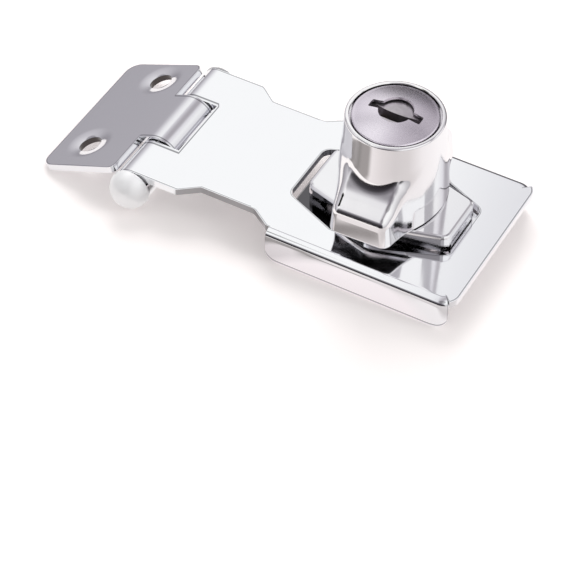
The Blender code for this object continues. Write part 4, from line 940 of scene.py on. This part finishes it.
# %% Tent panels
world = bpy.data.worlds.new("light_tent")
bpy.context.scene.world = world
world.use_nodes = True
tree = world.node_tree
tree.nodes.clear()
aim = add(tree, "ShaderNodeTexCoord").outputs["Generated"]
parts = add(tree, "ShaderNodeSeparateXYZ", [(aim, "Vector")])
east, north, up = (parts.outputs[axis] for axis in "XYZ")
across = add(tree, "ShaderNodeMapRange", [(east, "Value")], {"From Min": -1.0, "From Max": 1.0})
side_cloth = add(tree, "ShaderNodeValToRGB", [(across.outputs["Result"], "Fac")],
                 stops=[(0.0, "D0CED2"), (0.13, "DAD8DC"), (0.21, "F4F3F5"), (0.295, "FFFFFF"), (0.347, "FFFFFF"),
                        (0.367, "E8E7EA"), (0.42, "D2CFD4"), (0.5, "B8B4B9"), (0.58, "B8B4B9"), (0.66, "EDEBEF"),
                        (0.76, "FFFFFF")])
high_cloth = add(tree, "ShaderNodeValToRGB", [(up, "Fac")],
                 stops=[(0.0, "B4B2B6"), (0.3, "E8E7E9"), (0.6, "FFFFFF")])
steepness = add(tree, "ShaderNodeMath", [(north, 0), (up, 1)], operation="DIVIDE")
back_seam = add(tree, "ShaderNodeValToRGB", [(steepness.outputs["Value"], "Fac")],
                stops=[(0.46, "FFFFFF"), (0.50, "C0BEC2"), (0.68, "C0BEC2"), (0.72, "FFFFFF")])
low_wall = add(tree, "ShaderNodeValToRGB", [(up, "Fac")],
               stops=[(0.0, "6A6664"), (0.1, "454346"), (0.28, "525053"), (0.42, "9C9A9E"), (0.54, "E2E0E3"),
                      (0.62, "FFFFFF")])
ahead = add(tree, "ShaderNodeMath", [(north, 0)], operation="ABSOLUTE")
facing = add(tree, "ShaderNodeMapRange", [(ahead.outputs["Value"], "Value")], {"From Min": 0.76, "From Max": 0.86},
             interpolation_type="SMOOTHSTEP")
end_walls = add(tree, "ShaderNodeMix", [(facing.outputs["Result"], FACTOR), (low_wall.outputs["Color"], SECOND)],
                {FIRST: linear("FFFFFF")}, **COLOUR_MIX)
print("nodes in the tent's panels:", len(tree.nodes))


# %% Dark cards
def dark_card(tree, centre, inner, outer, least=0.012):
    """A round card in the tent: darkest within the inner angle from its centre, gone beyond the outer one."""
    centre = np.array(centre) / np.linalg.norm(centre)
    towards = add(tree, "ShaderNodeVectorMath", [(aim, 0)], {1: tuple(centre)}, operation="DOT_PRODUCT")
    shade = add(tree, "ShaderNodeMapRange", [(towards.outputs["Value"], "Value")],
                {"From Min": math.cos(math.radians(outer)), "From Max": math.cos(math.radians(inner)),
                 "To Min": 1.0, "To Max": least}, interpolation_type="SMOOTHSTEP")
    return shade.outputs["Result"]


cards = [dark_card(tree, (-0.55, -0.42, 0.73), 11.0, 15.0), dark_card(tree, (0.18, -0.65, 0.735), 16.0, 20.0, 0.55),
         dark_card(tree, (-0.62, 0.2, 0.74), 5.0, 18.0, 0.95)]
tone = side_cloth.outputs["Color"]
for panel in [high_cloth.outputs["Color"]] + cards + [back_seam.outputs["Color"], end_walls.outputs[BLEND]]:
    layer = add(tree, "ShaderNodeMix", [(tone, FIRST), (panel, SECOND)], {FACTOR: 1.0}, **COLOUR_PRODUCT)
    tone = layer.outputs[BLEND]
print("cards in the tent:", len(cards))

# %% Tent light
glossy = add(tree, "ShaderNodeBackground", [(tone, "Color")], {"Strength": 1.0})
soft = add(tree, "ShaderNodeBackground", inputs={"Color": linear("FFFFFF"), "Strength": 0.62})
white = add(tree, "ShaderNodeBackground", inputs={"Color": linear("FFFFFF"), "Strength": 1.0})
seen = add(tree, "ShaderNodeLightPath")
lit = add(tree, "ShaderNodeMixShader", [(seen.outputs["Is Glossy Ray"], "Fac"), (soft.outputs["Background"], 1),
                                        (glossy.outputs["Background"], 2)])
out = add(tree, "ShaderNodeMixShader", [(seen.outputs["Is Camera Ray"], "Fac"), (lit.outputs["Shader"], 1),
                                        (white.outputs["Background"], 2)])
add(tree, "ShaderNodeOutputWorld", [(out.outputs["Shader"], "Surface")])


def softbox(name, place, size, power):
    """A square soft light that looks at the knob. Mirrors don't see it, so it only shapes the shadow."""
    light = bpy.data.lights.new(name, "AREA")
    light.shape = "SQUARE"
    light.size = size
    light.energy = power
    box = bpy.data.objects.new(name, light)
    box.location = place
    box.visible_glossy = False
    box.rotation_euler = (Vector((0.0, 0.0, 0.01)) - Vector(place)).to_track_quat("-Z", "Y").to_euler()
    bpy.context.scene.collection.objects.link(box)


softbox("back_softbox", (-0.45, 0.8, 0.95), 0.8, 9.0)
softbox("right_softbox", (0.9, 0.1, 0.7), 0.5, 3.0)
print("lights:", len(bpy.data.lights))
